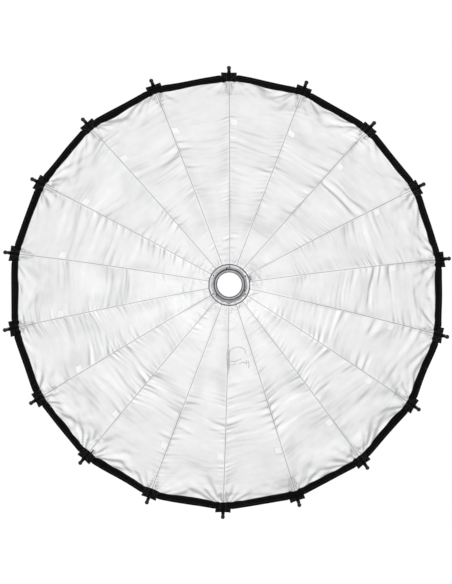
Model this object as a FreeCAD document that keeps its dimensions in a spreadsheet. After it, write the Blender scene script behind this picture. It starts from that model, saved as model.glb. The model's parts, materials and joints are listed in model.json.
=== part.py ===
import FreeCAD, Part

import math
import os

import Sketcher

# Folding parabolic umbrella reflector: eighteen curved ribs hinged round a ring,
# a silver-lined cloth gore between each pair, and a three-lug bayonet that turns in the ring.
# Millimetres and degrees. The pieces are drawn with the dish's axis along Z, its mouth
# towards +Z and the bayonet's seat at Z = 0, and stand with that axis level: the mouth
# faces -Y, +Z is up and the origin is the centre of the seat.

V = FreeCAD.Vector
UPRIGHT = FreeCAD.Placement(V(0, 0, 0), FreeCAD.Rotation(V(1, 0, 0), 90))

SIZES = [
    # dish and cloth
    ("rib_count", 18, "ribs, and gores between them"),
    ("corner_radius", 750, "dish axis to a corner of the rim"),
    ("root_slope", 30, "slope of the cloth where it leaves the ring"),
    ("rim_slope", 60, "slope of the cloth at the rim"),
    ("fold_angle", 46.4, "turn of each rib from open to folded"),
    ("cloth_thick", 1.2, "lined cloth with its padding at the seams"),
    ("cloth_gap", 0.8, "cloth to the rib's socket behind it"),
    ("seam_gap", 0.3, "edge of a gore to the middle of its seam"),
    ("hem_overlap_gap", 0.6, "throat hem to the gores' lower edges"),
    ("gore_start", 20, "throat edge to the gores' lower edges"),
    ("band_width", 32, "black band along the rim"),
    ("band_thick", 1, "webbing of that band"),
    # rib
    ("rod_radius", 3.5, "sprung rod"),
    ("rod_fit", 0.05, "rod in its socket and its cap"),
    ("rod_past_rim", 22, "rod beyond the rim"),
    ("socket_wall", 1.5, "wall round the rod in the socket"),
    ("socket_length", 42, "length of the socket"),
    ("socket_back", 4, "socket's closed end behind the pivot"),
    ("socket_width", 12, "socket's barrel between the ears"),
    ("barrel_radius", 5, "socket's barrel round the pin"),
    ("pivot_out", 15, "throat edge of the cloth to the hinge pins"),
    ("pivot_drop", 8, "rod's line to the pin below it"),
    ("pin_radius", 2, "hinge pin"),
    ("pin_fit", 0.03, "hinge pin in its holes"),
    ("heel_length", 14, "pin to the centre of the heel's nose"),
    ("heel_slope", 10, "heel's drop towards the seat when open"),
    ("heel_thick", 3.6, "heel's arm"),
    ("heel_width", 8, "heel and nose along the pin"),
    ("heel_inset", 1, "heel's width over that of the web above the pin"),
    ("nose_radius", 2.5, "rounded nose that bears on the collar"),
    ("cap_radius", 5.6, "tip cap's neck"),
    ("cap_bulb", 7.2, "tip cap's round end"),
    ("cap_length", 34, "tip cap up to the bulb's centre"),
    ("cap_past_rod", 6, "bulb's centre beyond the rod's end"),
    ("pocket_depth", 9, "corner pocket beyond the rim"),
    ("pocket_width", 12, "corner pocket's mouth along the rim"),
    ("pocket_wall", 2, "pocket's loop round the rod"),
    # bayonet insert
    ("throat_radius", 49, "clear bore through the ring"),
    ("sleeve_wall", 9, "insert's sleeve round the bore"),
    ("sleeve_length", 26, "seat to the sleeve's front end"),
    ("seat_band", 10.5, "seat outside the sleeve, where the claws stand"),
    ("seat_step", 2.9, "seat's height over the insert's rim"),
    ("rim_step", 2.5, "insert's rim beyond the seat"),
    ("rim_thick", 6, "insert's rim"),
    ("claw_height", 10, "claw behind the seat"),
    ("claw_wide", 5, "claw's leg, radially"),
    ("claw_hook", 3, "claw's hook beyond its leg"),
    ("claw_hook_thick", 3, "claw's hook along the axis"),
    ("claw_arc", 24, "claw's spread round the seat"),
    ("claw_count", 3, "claws"),
    # ring body
    ("turn_gap", 0.3, "insert's rim to the body's bore"),
    ("face_gap", 0.2, "insert's rim to the faces that hold it"),
    ("tube_wall", 4, "body's tube"),
    ("lip_width", 2.5, "body's inner lip ahead of the insert's rim"),
    ("lip_thick", 2.4, "body's inner lip"),
    ("boss_width", 8.7, "body's rear boss outside the tube"),
    ("hem_clamp", 4.7, "tube to the throat edge of the cloth"),
    ("plate_thick", 3, "body's front plate"),
    ("ear_thick", 3, "each ear"),
    ("ear_gap", 0.3, "ear to the socket's barrel"),
    ("ear_radius", 5.5, "ear round its pin"),
    ("slot_room", 1.5, "slot's inner end to the folded socket"),
    # retaining ring, flange, collar
    ("keeper_thick", 2.2, "retaining ring"),
    ("keeper_gap", 0.5, "retaining ring to the seat's side"),
    ("flange_thick", 3, "front flange"),
    ("flange_inset", 0.5, "flange's edge inside the throat edge of the cloth"),
    ("flange_lap", 1.5, "flange inside the body's bore"),
    ("chamfer", 0.8, "flange and sleeve edges"),
    ("collar_thick", 6, "fold collar"),
    ("collar_gap", 0.3, "collar on the tube, and to the noses"),
    ("collar_rim", 9.5, "collar beyond the noses' line when open"),
    ("tab_length", 17, "finger tab beyond the collar"),
    ("tab_width", 9, "finger tab"),
    ("tab_count", 3, "finger tabs"),
    ("drag_ring_radius", 1, "drag ring's section"),
    ("drag_ring_gap", 0.05, "drag ring to the tube and to its groove"),
    # fasteners
    ("screw_radius", 1.5, "all machine screws"),
    ("screw_fit", 0.05, "screws in their holes"),
    ("head_radius", 2.8, "screw heads"),
    ("head_thick", 1.8, "screw heads"),
    ("flange_screw_count", 6, "flange screws, and retaining ring screws"),
    ("screw_grip", 7, "screw below what it holds down"),
    # rotation lock
    ("stud_radius", 2.5, "lock screw"),
    ("stud_gap", 0.1, "lock screw's end to the insert's rim"),
    ("stud_reach", 20, "lock screw outside the boss"),
    ("knob_clear", 5, "boss to the knob"),
    ("knob_radius", 11, "knob"),
    ("knob_length", 20, "knob"),
    ("knob_neck", 6, "knob's neck radius"),
    ("knob_neck_length", 5, "knob's neck"),
    ("flute_radius", 2, "knob's flutes"),
    ("flute_count", 8, "knob's flutes"),
]

WORKED = [
    ("half_gore", "180 / rib_count"),
    ("sleeve_radius", "throat_radius + sleeve_wall"),
    ("seat_radius", "sleeve_radius + seat_band"),
    ("rim_radius", "seat_radius + rim_step"),
    ("bore_radius", "rim_radius + turn_gap"),
    ("tube_radius", "bore_radius + tube_wall"),
    ("boss_radius", "tube_radius + boss_width"),
    ("throat_edge", "tube_radius + hem_clamp"),
    ("pivot_radius", "throat_edge + pivot_out"),
    ("rim_back", "seat_step"),
    ("rim_front", "rim_back + rim_thick"),
    ("body_back", "rim_back - face_gap"),
    ("lip_back", "rim_front + face_gap"),
    ("lip_front", "lip_back + lip_thick"),
    ("boss_front", "lip_front + plate_thick / 2"),
    ("holder_radius", "rod_radius + socket_wall"),
    ("cloth_arc", "(corner_radius - throat_edge) / (sin(rim_slope) - sin(root_slope))"),
    ("centre_out", "throat_edge - cloth_arc * sin(root_slope)"),
    ("rod_behind", "cloth_thick + cloth_gap + holder_radius"),
    ("rod_arc", "cloth_arc + rod_behind"),
    ("pivot_arc", "rod_arc + pivot_drop"),
    ("pivot_slope", "asin((pivot_radius - centre_out) / pivot_arc)"),
    ("pivot_below_hem", "pivot_arc * cos(pivot_slope) - cloth_arc * cos(root_slope)"),
    ("collar_travel", "heel_length * cos(heel_slope) * fold_angle * pi / 180"),
    ("face_below_pivot", "heel_length * sin(heel_slope) + nose_radius + collar_gap"),
    ("collar_face", "boss_front + collar_gap + collar_travel + collar_thick"),
    ("pivot_height", "collar_face + face_below_pivot"),
    ("hem_height", "pivot_height + pivot_below_hem"),
    ("centre_height", "hem_height + cloth_arc * cos(root_slope)"),
    ("plate_top", "hem_height - cloth_thick"),
    ("plate_bottom", "plate_top - plate_thick"),
    ("ear_inside", "socket_width / 2 + ear_gap"),
    ("ear_outside", "ear_inside + ear_thick"),
    ("plate_radius", "pivot_radius + ear_radius"),
    ("slot_start", "pivot_radius - pivot_drop - holder_radius - slot_room"),
    ("nose_line", "pivot_radius - heel_length * cos(heel_slope)"),
    ("collar_bore", "tube_radius + collar_gap"),
    ("collar_radius", "nose_line + collar_rim"),
    ("tab_end", "collar_radius + tab_length"),
    ("drag_ring_line", "tube_radius + drag_ring_gap + drag_ring_radius"),
    ("drag_groove", "drag_ring_line + drag_ring_radius + drag_ring_gap"),
    ("collar_middle", "collar_face - collar_thick / 2"),
    ("screw_line", "bore_radius + tube_wall / 2"),
    ("claw_line", "seat_radius - claw_wide / 2 - keeper_gap"),
    ("keeper_bore", "seat_radius + keeper_gap"),
    ("keeper_back", "body_back - keeper_thick"),
    ("keeper_line", "(bore_radius + boss_radius) / 2"),
    ("flange_bore", "bore_radius - flange_lap"),
    ("flange_radius", "throat_edge - flange_inset"),
    ("flange_front", "hem_height + flange_thick"),
    ("hole_radius", "screw_radius + screw_fit"),
    ("stud_height", "rim_back + rim_thick / 2"),
    ("knob_start", "boss_radius + knob_clear"),
    ("knob_end", "knob_start + knob_length"),
    ("stud_end", "boss_radius + stud_reach"),
    ("hem_end", "(throat_edge + gore_start) * cos(half_gore) - hem_overlap_gap"),
    ("hem_end_slope", "asin((hem_end - centre_out) / cloth_arc)"),
    ("hem_rise", "cloth_arc * (cos(root_slope) - cos(hem_end_slope))"),
]

doc = FreeCAD.newDocument("umbrella_reflector")
sizes = doc.addObject("Spreadsheet::Sheet", "Sizes")
for row, (alias, number, note) in enumerate(SIZES, 1):
    sizes.set(f"A{row}", alias)
    sizes.set(f"B{row}", str(number))
    sizes.set(f"C{row}", note)
    sizes.setAlias(f"B{row}", alias)
doc.recompute()


def bound(expression):
    """The expression with each size and each worked value named in full."""
    words, word = [], ""
    for letter in expression + " ":
        if letter.isalnum() or letter == "_":
            word += letter
            continue
        if word in size_names:
            word = "Sizes." + word
        elif word in worked_names:
            word = "Worked." + word
        words += [word, letter]
        word = ""
    return "".join(words).strip()


size_names = {alias for alias, number, note in SIZES}
worked_names = set()
worked = doc.addObject("Spreadsheet::Sheet", "Worked")
for row, (alias, expression) in enumerate(WORKED, 1):
    worked.set(f"A{row}", alias)
    worked.set(f"B{row}", "=" + bound(expression).replace("Worked.", ""))
    worked.setAlias(f"B{row}", alias)
    worked_names.add(alias)
    doc.recompute()


def size(expression):
    """The number that an expression of sizes comes to."""
    found = worked.evalExpression(bound(expression))
    return float(getattr(found, "Value", found))


def turned(angle):
    """The place of a piece drawn towards +X, turned round the dish's axis and stood upright."""
    return UPRIGHT * FreeCAD.Placement(V(0, 0, 0), FreeCAD.Rotation(V(0, 0, 1), angle))


def rib_angle(number):
    """Ribs are numbered clockwise from the top, as the mouth is looked into."""
    return 90 - 2 * size("half_gore") * (number - 1)


CLAW_ANGLE = 100
LOCK_ANGLE = rib_angle(4) - size("half_gore")
LOCK_PLACE = FreeCAD.Placement(V(0, 0, 0), FreeCAD.Rotation(V(0, 0, 1), LOCK_ANGLE))
LOCK_PLACE = LOCK_PLACE * FreeCAD.Placement(V(0, 0, size("stud_height")), FreeCAD.Rotation())


def plane(body, role):
    """One of a body's own origin planes or axes."""
    return next(f for f in body.Origin.OriginFeatures if f.Role == role)


def new_body(label):
    body = doc.addObject("PartDesign::Body", label)
    body.Label = label
    return body


def new_sketch(body, role="XZ_Plane"):
    sketch = body.newObject("Sketcher::SketchObject", "Outline")
    sketch.AttachmentSupport = [(plane(body, role), "")]
    sketch.MapMode = "FlatFace"
    return sketch


def hold(sketch, edge, end, across, up):
    """Holds the end of an edge at two distances from the sketch's origin."""
    for kind, axis, expression in (("DistanceX", -2, across), ("DistanceY", -1, up)):
        distance = size(expression)
        if abs(distance) < 1e-9:
            sketch.addConstraint(Sketcher.Constraint("PointOnObject", edge, end, axis))
            continue
        points = (-1, 1, edge, end) if distance > 0 else (edge, end, -1, 1)
        index = sketch.addConstraint(Sketcher.Constraint(kind, *points, abs(distance)))
        sign = "" if distance > 0 else "-1 * "
        sketch.setExpression(f"Constraints[{index}]", f"{sign}({bound(expression)})")


def outline(sketch, corners):
    """A closed outline of straight edges through corners that follow the sheet."""
    places = [V(size(across), size(up), 0) for across, up in corners]
    first = sketch.GeometryCount
    count = len(corners)
    for i, place in enumerate(places):
        sketch.addGeometry(Part.LineSegment(place, places[(i + 1) % count]))
    for i in range(count):
        following = first + (i + 1) % count
        sketch.addConstraint(Sketcher.Constraint("Coincident", first + i, 2, following, 1))
    for i, (across, up) in enumerate(corners):
        hold(sketch, first + i, 1, across, up)


def circle(sketch, across, up, radius):
    """A circle whose place and radius follow the sheet."""
    centre = V(size(across), size(up), 0)
    index = sketch.addGeometry(Part.Circle(centre, V(0, 0, 1), size(radius)))
    hold(sketch, index, 3, across, up)
    width = sketch.addConstraint(Sketcher.Constraint("Radius", index, size(radius)))
    sketch.setExpression(f"Constraints[{width}]", bound(radius))


def revolve(body, sketch, axis="V_Axis", angle="360"):
    feature = body.newObject("PartDesign::Revolution", "Turned")
    feature.Profile = sketch
    feature.ReferenceAxis = (sketch, [axis])
    feature.Midplane = True
    feature.setExpression("Angle", bound(angle))
    doc.recompute()
    return feature


def pad(body, sketch, length, kind="PartDesign::Pad"):
    """A pad, or a pocket, as far to each side of the sketch's plane."""
    feature = body.newObject(kind, kind.split("::")[1])
    feature.Profile = sketch
    feature.Midplane = True
    feature.setExpression("Length", bound(length))
    doc.recompute()
    return feature


def pattern(body, features, count, role="Z_Axis"):
    """The features repeated evenly round one of the body's axes."""
    feature = body.newObject("PartDesign::PolarPattern", "Round")
    feature.Originals = features
    feature.Axis = (plane(body, role), [""])
    feature.Angle = 360
    feature.setExpression("Occurrences", bound(count))
    body.Tip = feature
    doc.recompute()
    return feature


def turned_piece(label, corners):
    """A body turned round the dish's axis from its half section."""
    body = new_body(label)
    sketch = new_sketch(body)
    outline(sketch, corners)
    revolve(body, sketch)
    return body


def bore_ring(body, line, radius, low, high, count):
    """Round holes along the dish's axis, evenly round a circle, between two heights."""
    sketch = new_sketch(body)
    start, end = f"{line} - {radius}", line
    outline(sketch, [(start, low), (end, low), (end, high), (start, high)])
    hole = body.newObject("PartDesign::Groove", "Hole")
    hole.Profile = sketch
    hole.ReferenceAxis = (sketch, ["Edge2"])
    hole.Angle = 360
    doc.recompute()
    pattern(body, [hole], count)


def screw_ring(label, line, under_head, end, count):
    """Pan-head screws along the dish's axis; the head lies on the far side of under_head from end."""
    body = new_body(label)
    sketch = new_sketch(body)
    up = size(under_head) > size(end)
    head = f"{under_head} {'+' if up else '-'} head_thick"
    outline(sketch, [
        (line, head), (line, end), (f"{line} + screw_radius", end),
        (f"{line} + screw_radius", under_head), (f"{line} + head_radius", under_head),
        (f"{line} + head_radius", head),
    ])
    screw = revolve(body, sketch, "Edge1")
    pattern(body, [screw], count)
    return body


# --- bayonet insert and its claws ---------------------------------------------------------

def make_insert():
    body = turned_piece("bayonet_insert", [
        ("throat_radius", "0"), ("seat_radius", "0"), ("seat_radius", "rim_back"),
        ("rim_radius", "rim_back"), ("rim_radius", "rim_front"),
        ("sleeve_radius", "rim_front"), ("sleeve_radius", "sleeve_length - chamfer"),
        ("sleeve_radius - chamfer", "sleeve_length"),
        ("throat_radius + chamfer", "sleeve_length"),
        ("throat_radius", "sleeve_length - chamfer"),
    ])
    bore_ring(body, "claw_line", "hole_radius", "0", "rim_front", "claw_count")
    return body


def make_claws():
    body = new_body("bayonet_claws")
    sketch = new_sketch(body)
    inside, outside = "claw_line - claw_wide / 2", "claw_line + claw_wide / 2"
    hook = "claw_hook_thick - claw_height"
    outline(sketch, [
        (inside, "0"), (outside, "0"), (outside, hook), (f"{outside} + claw_hook", hook),
        (f"{outside} + claw_hook", "-claw_height"), (inside, "-claw_height"),
    ])
    claw = revolve(body, sketch, angle="claw_arc")
    pattern(body, [claw], "claw_count")
    bore_ring(body, "claw_line", "hole_radius", "-screw_grip", "0", "claw_count")
    return body


# --- ring body, what it clamps and what slides on it --------------------------------------

def make_ring_body():
    body = turned_piece("RingCasting", [
        ("bore_radius", "body_back"), ("boss_radius", "body_back"),
        ("boss_radius", "boss_front"), ("tube_radius", "boss_front"),
        ("tube_radius", "plate_bottom"), ("plate_radius", "plate_bottom"),
        ("plate_radius", "plate_top"), ("bore_radius", "plate_top"),
        ("bore_radius", "lip_front"), ("bore_radius - lip_width", "lip_front"),
        ("bore_radius - lip_width", "lip_back"), ("bore_radius", "lip_back"),
    ])
    cheek = new_sketch(body)
    outer, inner = "plate_radius", "pivot_radius - ear_radius"
    outline(cheek, [(inner, "pivot_height"), (outer, "pivot_height"),
                    (outer, "plate_top"), (inner, "plate_top")])
    cheeks = pad(body, cheek, "2 * ear_outside")
    knuckle = new_sketch(body)
    circle(knuckle, "pivot_radius", "pivot_height", "ear_radius")
    knuckles = pad(body, knuckle, "2 * ear_outside")
    slot = new_sketch(body)
    low, far = "pivot_height - 2 * ear_radius", "plate_radius + ear_radius"
    outline(slot, [("slot_start", low), (far, low), (far, "plate_top + plate_thick"),
                   ("slot_start", "plate_top + plate_thick")])
    slots = pad(body, slot, "2 * ear_inside", "PartDesign::Pocket")
    hole = new_sketch(body)
    circle(hole, "pivot_radius", "pivot_height", "pin_radius + pin_fit")
    holes = pad(body, hole, "2 * ear_outside + ear_thick", "PartDesign::Pocket")
    pattern(body, [cheeks, knuckles, slots, holes], "rib_count")
    bore_ring(body, "screw_line", "hole_radius", "plate_top - screw_grip", "plate_top",
              "flange_screw_count")
    bore_ring(body, "keeper_line", "hole_radius", "body_back", "body_back + screw_grip",
              "flange_screw_count")
    body.Placement = FreeCAD.Placement(V(0, 0, 0), FreeCAD.Rotation(V(0, 0, 1), rib_angle(1)))
    hole = doc.addObject("Part::Cylinder", "LockHole")
    hole.setExpression("Radius", bound("stud_radius + screw_fit"))
    hole.setExpression("Height", bound("boss_radius + boss_width"))
    hole.Placement = LOCK_PLACE * FreeCAD.Placement(V(0, 0, 0), FreeCAD.Rotation(V(0, 1, 0), 90))
    return cut("ring_body", body, hole)


def make_flange():
    body = turned_piece("front_flange", [
        ("flange_bore", "plate_top"), ("tube_radius", "plate_top"),
        ("tube_radius", "hem_height"), ("flange_radius", "hem_height"),
        ("flange_radius", "flange_front - chamfer"),
        ("flange_radius - chamfer", "flange_front"),
        ("flange_bore + chamfer", "flange_front"),
        ("flange_bore", "flange_front - chamfer"),
    ])
    bore_ring(body, "screw_line", "hole_radius", "plate_top", "flange_front",
              "flange_screw_count")
    return body


def make_retaining_ring():
    body = turned_piece("retaining_ring", [
        ("keeper_bore", "keeper_back"), ("boss_radius", "keeper_back"),
        ("boss_radius", "body_back"), ("keeper_bore", "body_back"),
    ])
    bore_ring(body, "keeper_line", "hole_radius", "keeper_back", "body_back",
              "flange_screw_count")
    return body


def make_throat_hem():
    """The cloth's stiffened throat: clamped flat under the flange, then flared to the gores."""
    inside = "tube_radius + screw_fit"
    return turned_piece("throat_hem", [
        (inside, "plate_top"), ("throat_edge", "plate_top"),
        ("hem_end", "plate_top + hem_rise"), ("hem_end", "hem_height + hem_rise"),
        ("throat_edge", "hem_height"), (inside, "hem_height"),
    ])


def make_collar():
    """Slides on the tube; its front face bears on every heel and holds the dish open."""
    body = turned_piece("fold_collar", [
        ("collar_bore", "collar_face - collar_thick"),
        ("collar_radius", "collar_face - collar_thick"), ("collar_radius", "collar_face"),
        ("collar_bore", "collar_face"), ("collar_bore", "collar_middle + drag_ring_radius"),
        ("drag_groove", "collar_middle + drag_ring_radius"),
        ("drag_groove", "collar_middle - drag_ring_radius"),
        ("collar_bore", "collar_middle - drag_ring_radius"),
    ])
    tab = new_sketch(body)
    inner = "(collar_bore + collar_radius) / 2"
    outline(tab, [
        (inner, "collar_face - collar_thick"), ("tab_end", "collar_face - collar_thick"),
        ("tab_end", "collar_middle"), ("collar_radius", "collar_face"), (inner, "collar_face"),
    ])
    tabs = pad(body, tab, "tab_width")
    pattern(body, [tabs], "tab_count")
    return body


def make_drag_ring():
    ring = doc.addObject("Part::Torus", "collar_drag_ring")
    ring.setExpression("Radius1", bound("drag_ring_line"))
    ring.setExpression("Radius2", bound("drag_ring_radius - drag_ring_gap"))
    ring.Label = "collar_drag_ring"
    return ring


def make_hinge_pins():
    body = new_body("hinge_pins")
    sketch = new_sketch(body)
    circle(sketch, "pivot_radius", "pivot_height", "pin_radius")
    pattern(body, [pad(body, sketch, "2 * ear_outside")], "rib_count")
    return body


# --- rotation lock: drawn along X, at the height of the insert's rim ----------------------

def make_lock_screw():
    body = new_body("lock_screw")
    sketch = new_sketch(body)
    start = "rim_radius + stud_gap"
    outline(sketch, [(start, "0"), ("stud_end", "0"), ("stud_end", "stud_radius"),
                     (start, "stud_radius")])
    revolve(body, sketch, "H_Axis")
    return body


def make_lock_knob():
    body = new_body("lock_knob")
    sketch = new_sketch(body)
    bore, neck_end = "stud_radius + screw_fit", "knob_start + knob_neck_length"
    outline(sketch, [
        ("knob_start", bore), ("knob_start", "knob_neck"), (neck_end, "knob_neck"),
        (neck_end, "knob_radius - chamfer"), (f"{neck_end} + chamfer", "knob_radius"),
        ("knob_end - 2 * chamfer", "knob_radius"), ("knob_end", "knob_radius - 2 * chamfer"),
        ("knob_end", "0"), ("stud_end + stud_gap", "0"), ("stud_end + stud_gap", bore),
    ])
    revolve(body, sketch, "H_Axis")
    flute = new_sketch(body, "YZ_Plane")
    circle(flute, "0", "knob_radius + flute_radius / 2", "flute_radius")
    groove = body.newObject("PartDesign::Pocket", "Flute")
    groove.Profile = flute
    groove.Reversed = True
    groove.setExpression("Length", bound("knob_end + knob_radius"))
    doc.recompute()
    pattern(body, [groove], "flute_count", "X_Axis")
    return body


# --- rib: socket, sprung rod, tip cap and corner pocket, drawn in the XZ plane -------------

def on_arc(behind, slope, along=0.0):
    """A point behind the cloth where it has a slope, and further along that slope."""
    reach = size("cloth_arc") + behind
    out, up = math.sin(math.radians(slope)), -math.cos(math.radians(slope))
    return V(size("centre_out") + reach * out - along * up, 0,
             size("centre_height") + reach * up + along * out)


def arc_turn(length):
    """The turn, in degrees, of a length along the rod."""
    return math.degrees(length / size("rod_arc"))


def bent_rod(name, radius, start, end):
    """A round bar along the rod's own arc, between two slopes."""
    bar = doc.addObject("Part::Torus", name)
    bar.setExpression("Radius1", bound("rod_arc"))
    bar.setExpression("Radius2", bound(radius))
    bar.Angle3 = end - start
    upright = FreeCAD.Rotation(V(1, 0, 0), 90) * FreeCAD.Rotation(V(0, 0, 1), start - 90)
    bar.Placement = FreeCAD.Placement(V(size("centre_out"), 0, size("centre_height")), upright)
    return bar


def cross_bar(name, radius, width, place):
    """A round bar along the hinge's axis, centred on the rib's plane."""
    bar = doc.addObject("Part::Cylinder", name)
    bar.setExpression("Radius", bound(radius))
    bar.setExpression("Height", bound(width))
    half = V(0, size(width) / 2, 0)
    bar.Placement = FreeCAD.Placement(place + half, FreeCAD.Rotation(V(1, 0, 0), 90))
    return bar


def block(name, length, width, height, corner, slope):
    """A block lying along a slope, centred on the rib's plane; corner is its low end's middle."""
    box = doc.addObject("Part::Box", name)
    for side, expression in (("Length", length), ("Width", width), ("Height", height)):
        box.setExpression(side, bound(expression))
    turn = FreeCAD.Rotation(V(0, 1, 0), -slope)
    shift = turn.multVec(V(0, -size(width) / 2, -size(height) / 2))
    box.Placement = FreeCAD.Placement(corner + shift, turn)
    return box


def join(name, pieces):
    whole = doc.addObject("Part::MultiFuse", name)
    whole.Shapes = pieces
    return whole


def cut(name, base, tool):
    rest = doc.addObject("Part::Cut", name)
    rest.Base = base
    rest.Tool = tool
    return rest


def make_socket(rod_start):
    slope, pivot = size("pivot_slope"), V(size("pivot_radius"), 0, size("pivot_height"))
    back = arc_turn(size("socket_back"))
    holder = bent_rod("Holder", "holder_radius", slope - back,
                      slope - back + arc_turn(size("socket_length")))
    barrel = cross_bar("Barrel", "barrel_radius", "socket_width", pivot)
    heel_slope = 180 + size("heel_slope")
    arm = block("HeelArm", "heel_length", "heel_width", "heel_thick", pivot, heel_slope)
    turn = math.radians(heel_slope)
    tip = pivot + V(math.cos(turn), 0, math.sin(turn)) * size("heel_length")
    nose = cross_bar("Nose", "nose_radius", "heel_width", tip)
    low_end = on_arc(size("rod_behind + pivot_drop / 2"), slope, -size("barrel_radius"))
    web = block("Web", "2 * barrel_radius", "heel_width - heel_inset", "pivot_drop", low_end, slope)
    solid = join("SocketSolid", [holder, barrel, arm, nose, web])
    bore = bent_rod("RodBore", "rod_radius + rod_fit", rod_start, slope + 2)
    pin = cross_bar("PinBore", "pin_radius + pin_fit", "2 * socket_width", pivot)
    return cut("rib_socket", cut("SocketBored", solid, bore), pin)


def make_cap(rod_end):
    start = rod_end + arc_turn(size("cap_past_rod") - size("cap_length"))
    end = rod_end + arc_turn(size("cap_past_rod"))
    neck = bent_rod("CapNeck", "cap_radius", start, end)
    bulb = doc.addObject("Part::Sphere", "CapBulb")
    bulb.setExpression("Radius", bound("cap_bulb"))
    bulb.Placement.Base = on_arc(size("rod_behind"), end)
    bore = bent_rod("CapBore", "rod_radius + rod_fit", start - 1, rod_end)
    return cut("tip_cap", join("CapSolid", [neck, bulb]), bore)


def make_pocket():
    """The webbing pocket past the rim's corner, folded round the rod."""
    slope = size("rim_slope")
    gap = size("seam_gap")
    depth = "rod_behind + rod_radius + pocket_wall"
    loop = block("PocketLoop", "pocket_depth", "pocket_width", depth,
                 on_arc(size(depth) / 2, slope, gap), slope)
    bore = bent_rod("PocketBore", "rod_radius + rod_fit", slope - 1, slope + 2)
    return cut("corner_pocket", loop, bore)


def make_ribs():
    rod_start = size("pivot_slope") + arc_turn(size("rod_fit") * 20)
    rod_end = size("rim_slope") + arc_turn(size("rod_past_rim"))
    rod = bent_rod("rod", "rod_radius", rod_start, rod_end)
    pieces = [make_socket(rod_start - arc_turn(size("rod_fit"))), rod, make_cap(rod_end),
              make_pocket()]
    for number in range(1, int(size("rib_count")) + 1):
        rib = doc.addObject("Part::Compound", f"rib_{number:02d}")
        rib.Links = pieces
        rib.Placement = turned(rib_angle(number))
        yield rib


# --- gores: cloth panels between the ribs, drawn about the middle of the panel -------------

def gore_layer(front, back, start, end):
    """A layer of cloth between two depths behind the lining and two slopes, seam to seam."""
    half = math.radians(size("half_gore"))
    gap = size("seam_gap")

    def edge_point(behind, slope):
        place = on_arc(behind, slope)
        return V(place.x * math.cos(half), 0, place.z)

    def edge(behind, first, last):
        middle = edge_point(behind, (first + last) / 2)
        return Part.Arc(edge_point(behind, first), middle, edge_point(behind, last)).toShape()

    near, far = edge(front, start, end), edge(back, end, start)
    ends = [Part.makeLine(edge_point(front, end), edge_point(back, end)),
            Part.makeLine(edge_point(back, start), edge_point(front, start))]
    section = Part.Face(Part.Wire([near, ends[0], far, ends[1]]))
    reach = 2 * size("corner_radius")
    width = V(0, reach * math.tan(half), 0)
    section.translate(width * -1)
    tip = gap / math.sin(half)
    corners = [V(tip, 0, 0), V(reach, (reach - tip) * math.tan(half), 0),
               V(reach, -(reach - tip) * math.tan(half), 0), V(tip, 0, 0)]
    wedge = Part.Face(Part.makePolygon(corners)).extrude(V(0, 0, reach))
    return section.extrude(width * 2).common(wedge)


def make_gores():
    edge, rim, cloth = size("throat_edge + gore_start"), size("rim_slope"), size("cloth_thick")
    start = math.degrees(math.asin((edge - size("centre_out")) / size("cloth_arc")))
    band = rim - arc_turn(size("band_width"))
    panel = gore_layer(0, cloth, start, rim)
    webbing = gore_layer(-size("band_thick"), 0, band, rim)
    for number in range(1, int(size("rib_count")) + 1):
        gore = doc.addObject("Part::Feature", f"gore_{number:02d}")
        gore.Shape = Part.makeCompound([panel, webbing])
        gore.Placement = turned(rib_angle(number) - size("half_gore"))
        yield gore


# --- assembly -----------------------------------------------------------------------------

nodes = []


def keep(piece, angle):
    """Stands a finished piece upright, turned round the dish's axis, and lists it for writing."""
    piece.Placement = turned(angle) * piece.Placement
    nodes.append(piece)


def first_middle():
    """The angle of the middle of the first gore."""
    return rib_angle(1) - size("half_gore")


keep(make_insert(), CLAW_ANGLE)
keep(make_claws(), CLAW_ANGLE)
keep(screw_ring("claw_screws", "claw_line", "rim_front", "-screw_grip + face_gap", "claw_count"),
     CLAW_ANGLE)
keep(make_ring_body(), 0)
keep(make_flange(), rib_angle(1))
keep(screw_ring("flange_screws", "screw_line", "flange_front",
                "plate_top - screw_grip + face_gap", "flange_screw_count"), rib_angle(1))
keep(make_retaining_ring(), rib_angle(1))
keep(screw_ring("retaining_screws", "keeper_line", "keeper_back",
                "body_back + screw_grip - face_gap", "flange_screw_count"), rib_angle(1))
keep(make_throat_hem(), 0)
keep(make_hinge_pins(), rib_angle(1))
keep(make_collar(), first_middle())
drag_ring = make_drag_ring()
drag_ring.Placement.Base = V(0, 0, size("collar_middle"))
keep(drag_ring, 0)
for lock_piece in (make_lock_screw(), make_lock_knob()):
    lock_piece.Placement = FreeCAD.Placement(V(0, 0, size("stud_height")), FreeCAD.Rotation())
    keep(lock_piece, LOCK_ANGLE)
nodes.extend(make_ribs())
nodes.extend(make_gores())
doc.recompute()

for item in doc.Objects:
    if {"Invalid", "Error"} & set(item.State):
        raise RuntimeError(f"{item.Label} has failed: {item.State}")
for node in nodes:
    if node.Shape.isNull() or not node.Shape.isValid() or not node.Shape.Solids:
        raise RuntimeError(f"{node.Label} has no sound shape")

os.makedirs("parts", exist_ok=True)
for node in nodes:
    node.Shape.exportStep(f"parts/{node.Label}.step")
    print(node.Label, len(node.Shape.Solids), round(node.Shape.Volume / 1000, 2), "cm3")
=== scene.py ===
"""Folding parabolic umbrella reflector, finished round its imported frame.

The dish's axis lies along Y. Its mouth faces -Y, +Z is up, and the ring's seat is at the
origin. Angles go clockwise from the top rib, as seen from the mouth. Metres throughout."""
import json
import math

import bmesh
import bpy
import numpy as np
from bpy.props import FloatProperty, FloatVectorProperty, IntProperty, PointerProperty
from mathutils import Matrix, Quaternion, Vector, noise

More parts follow.
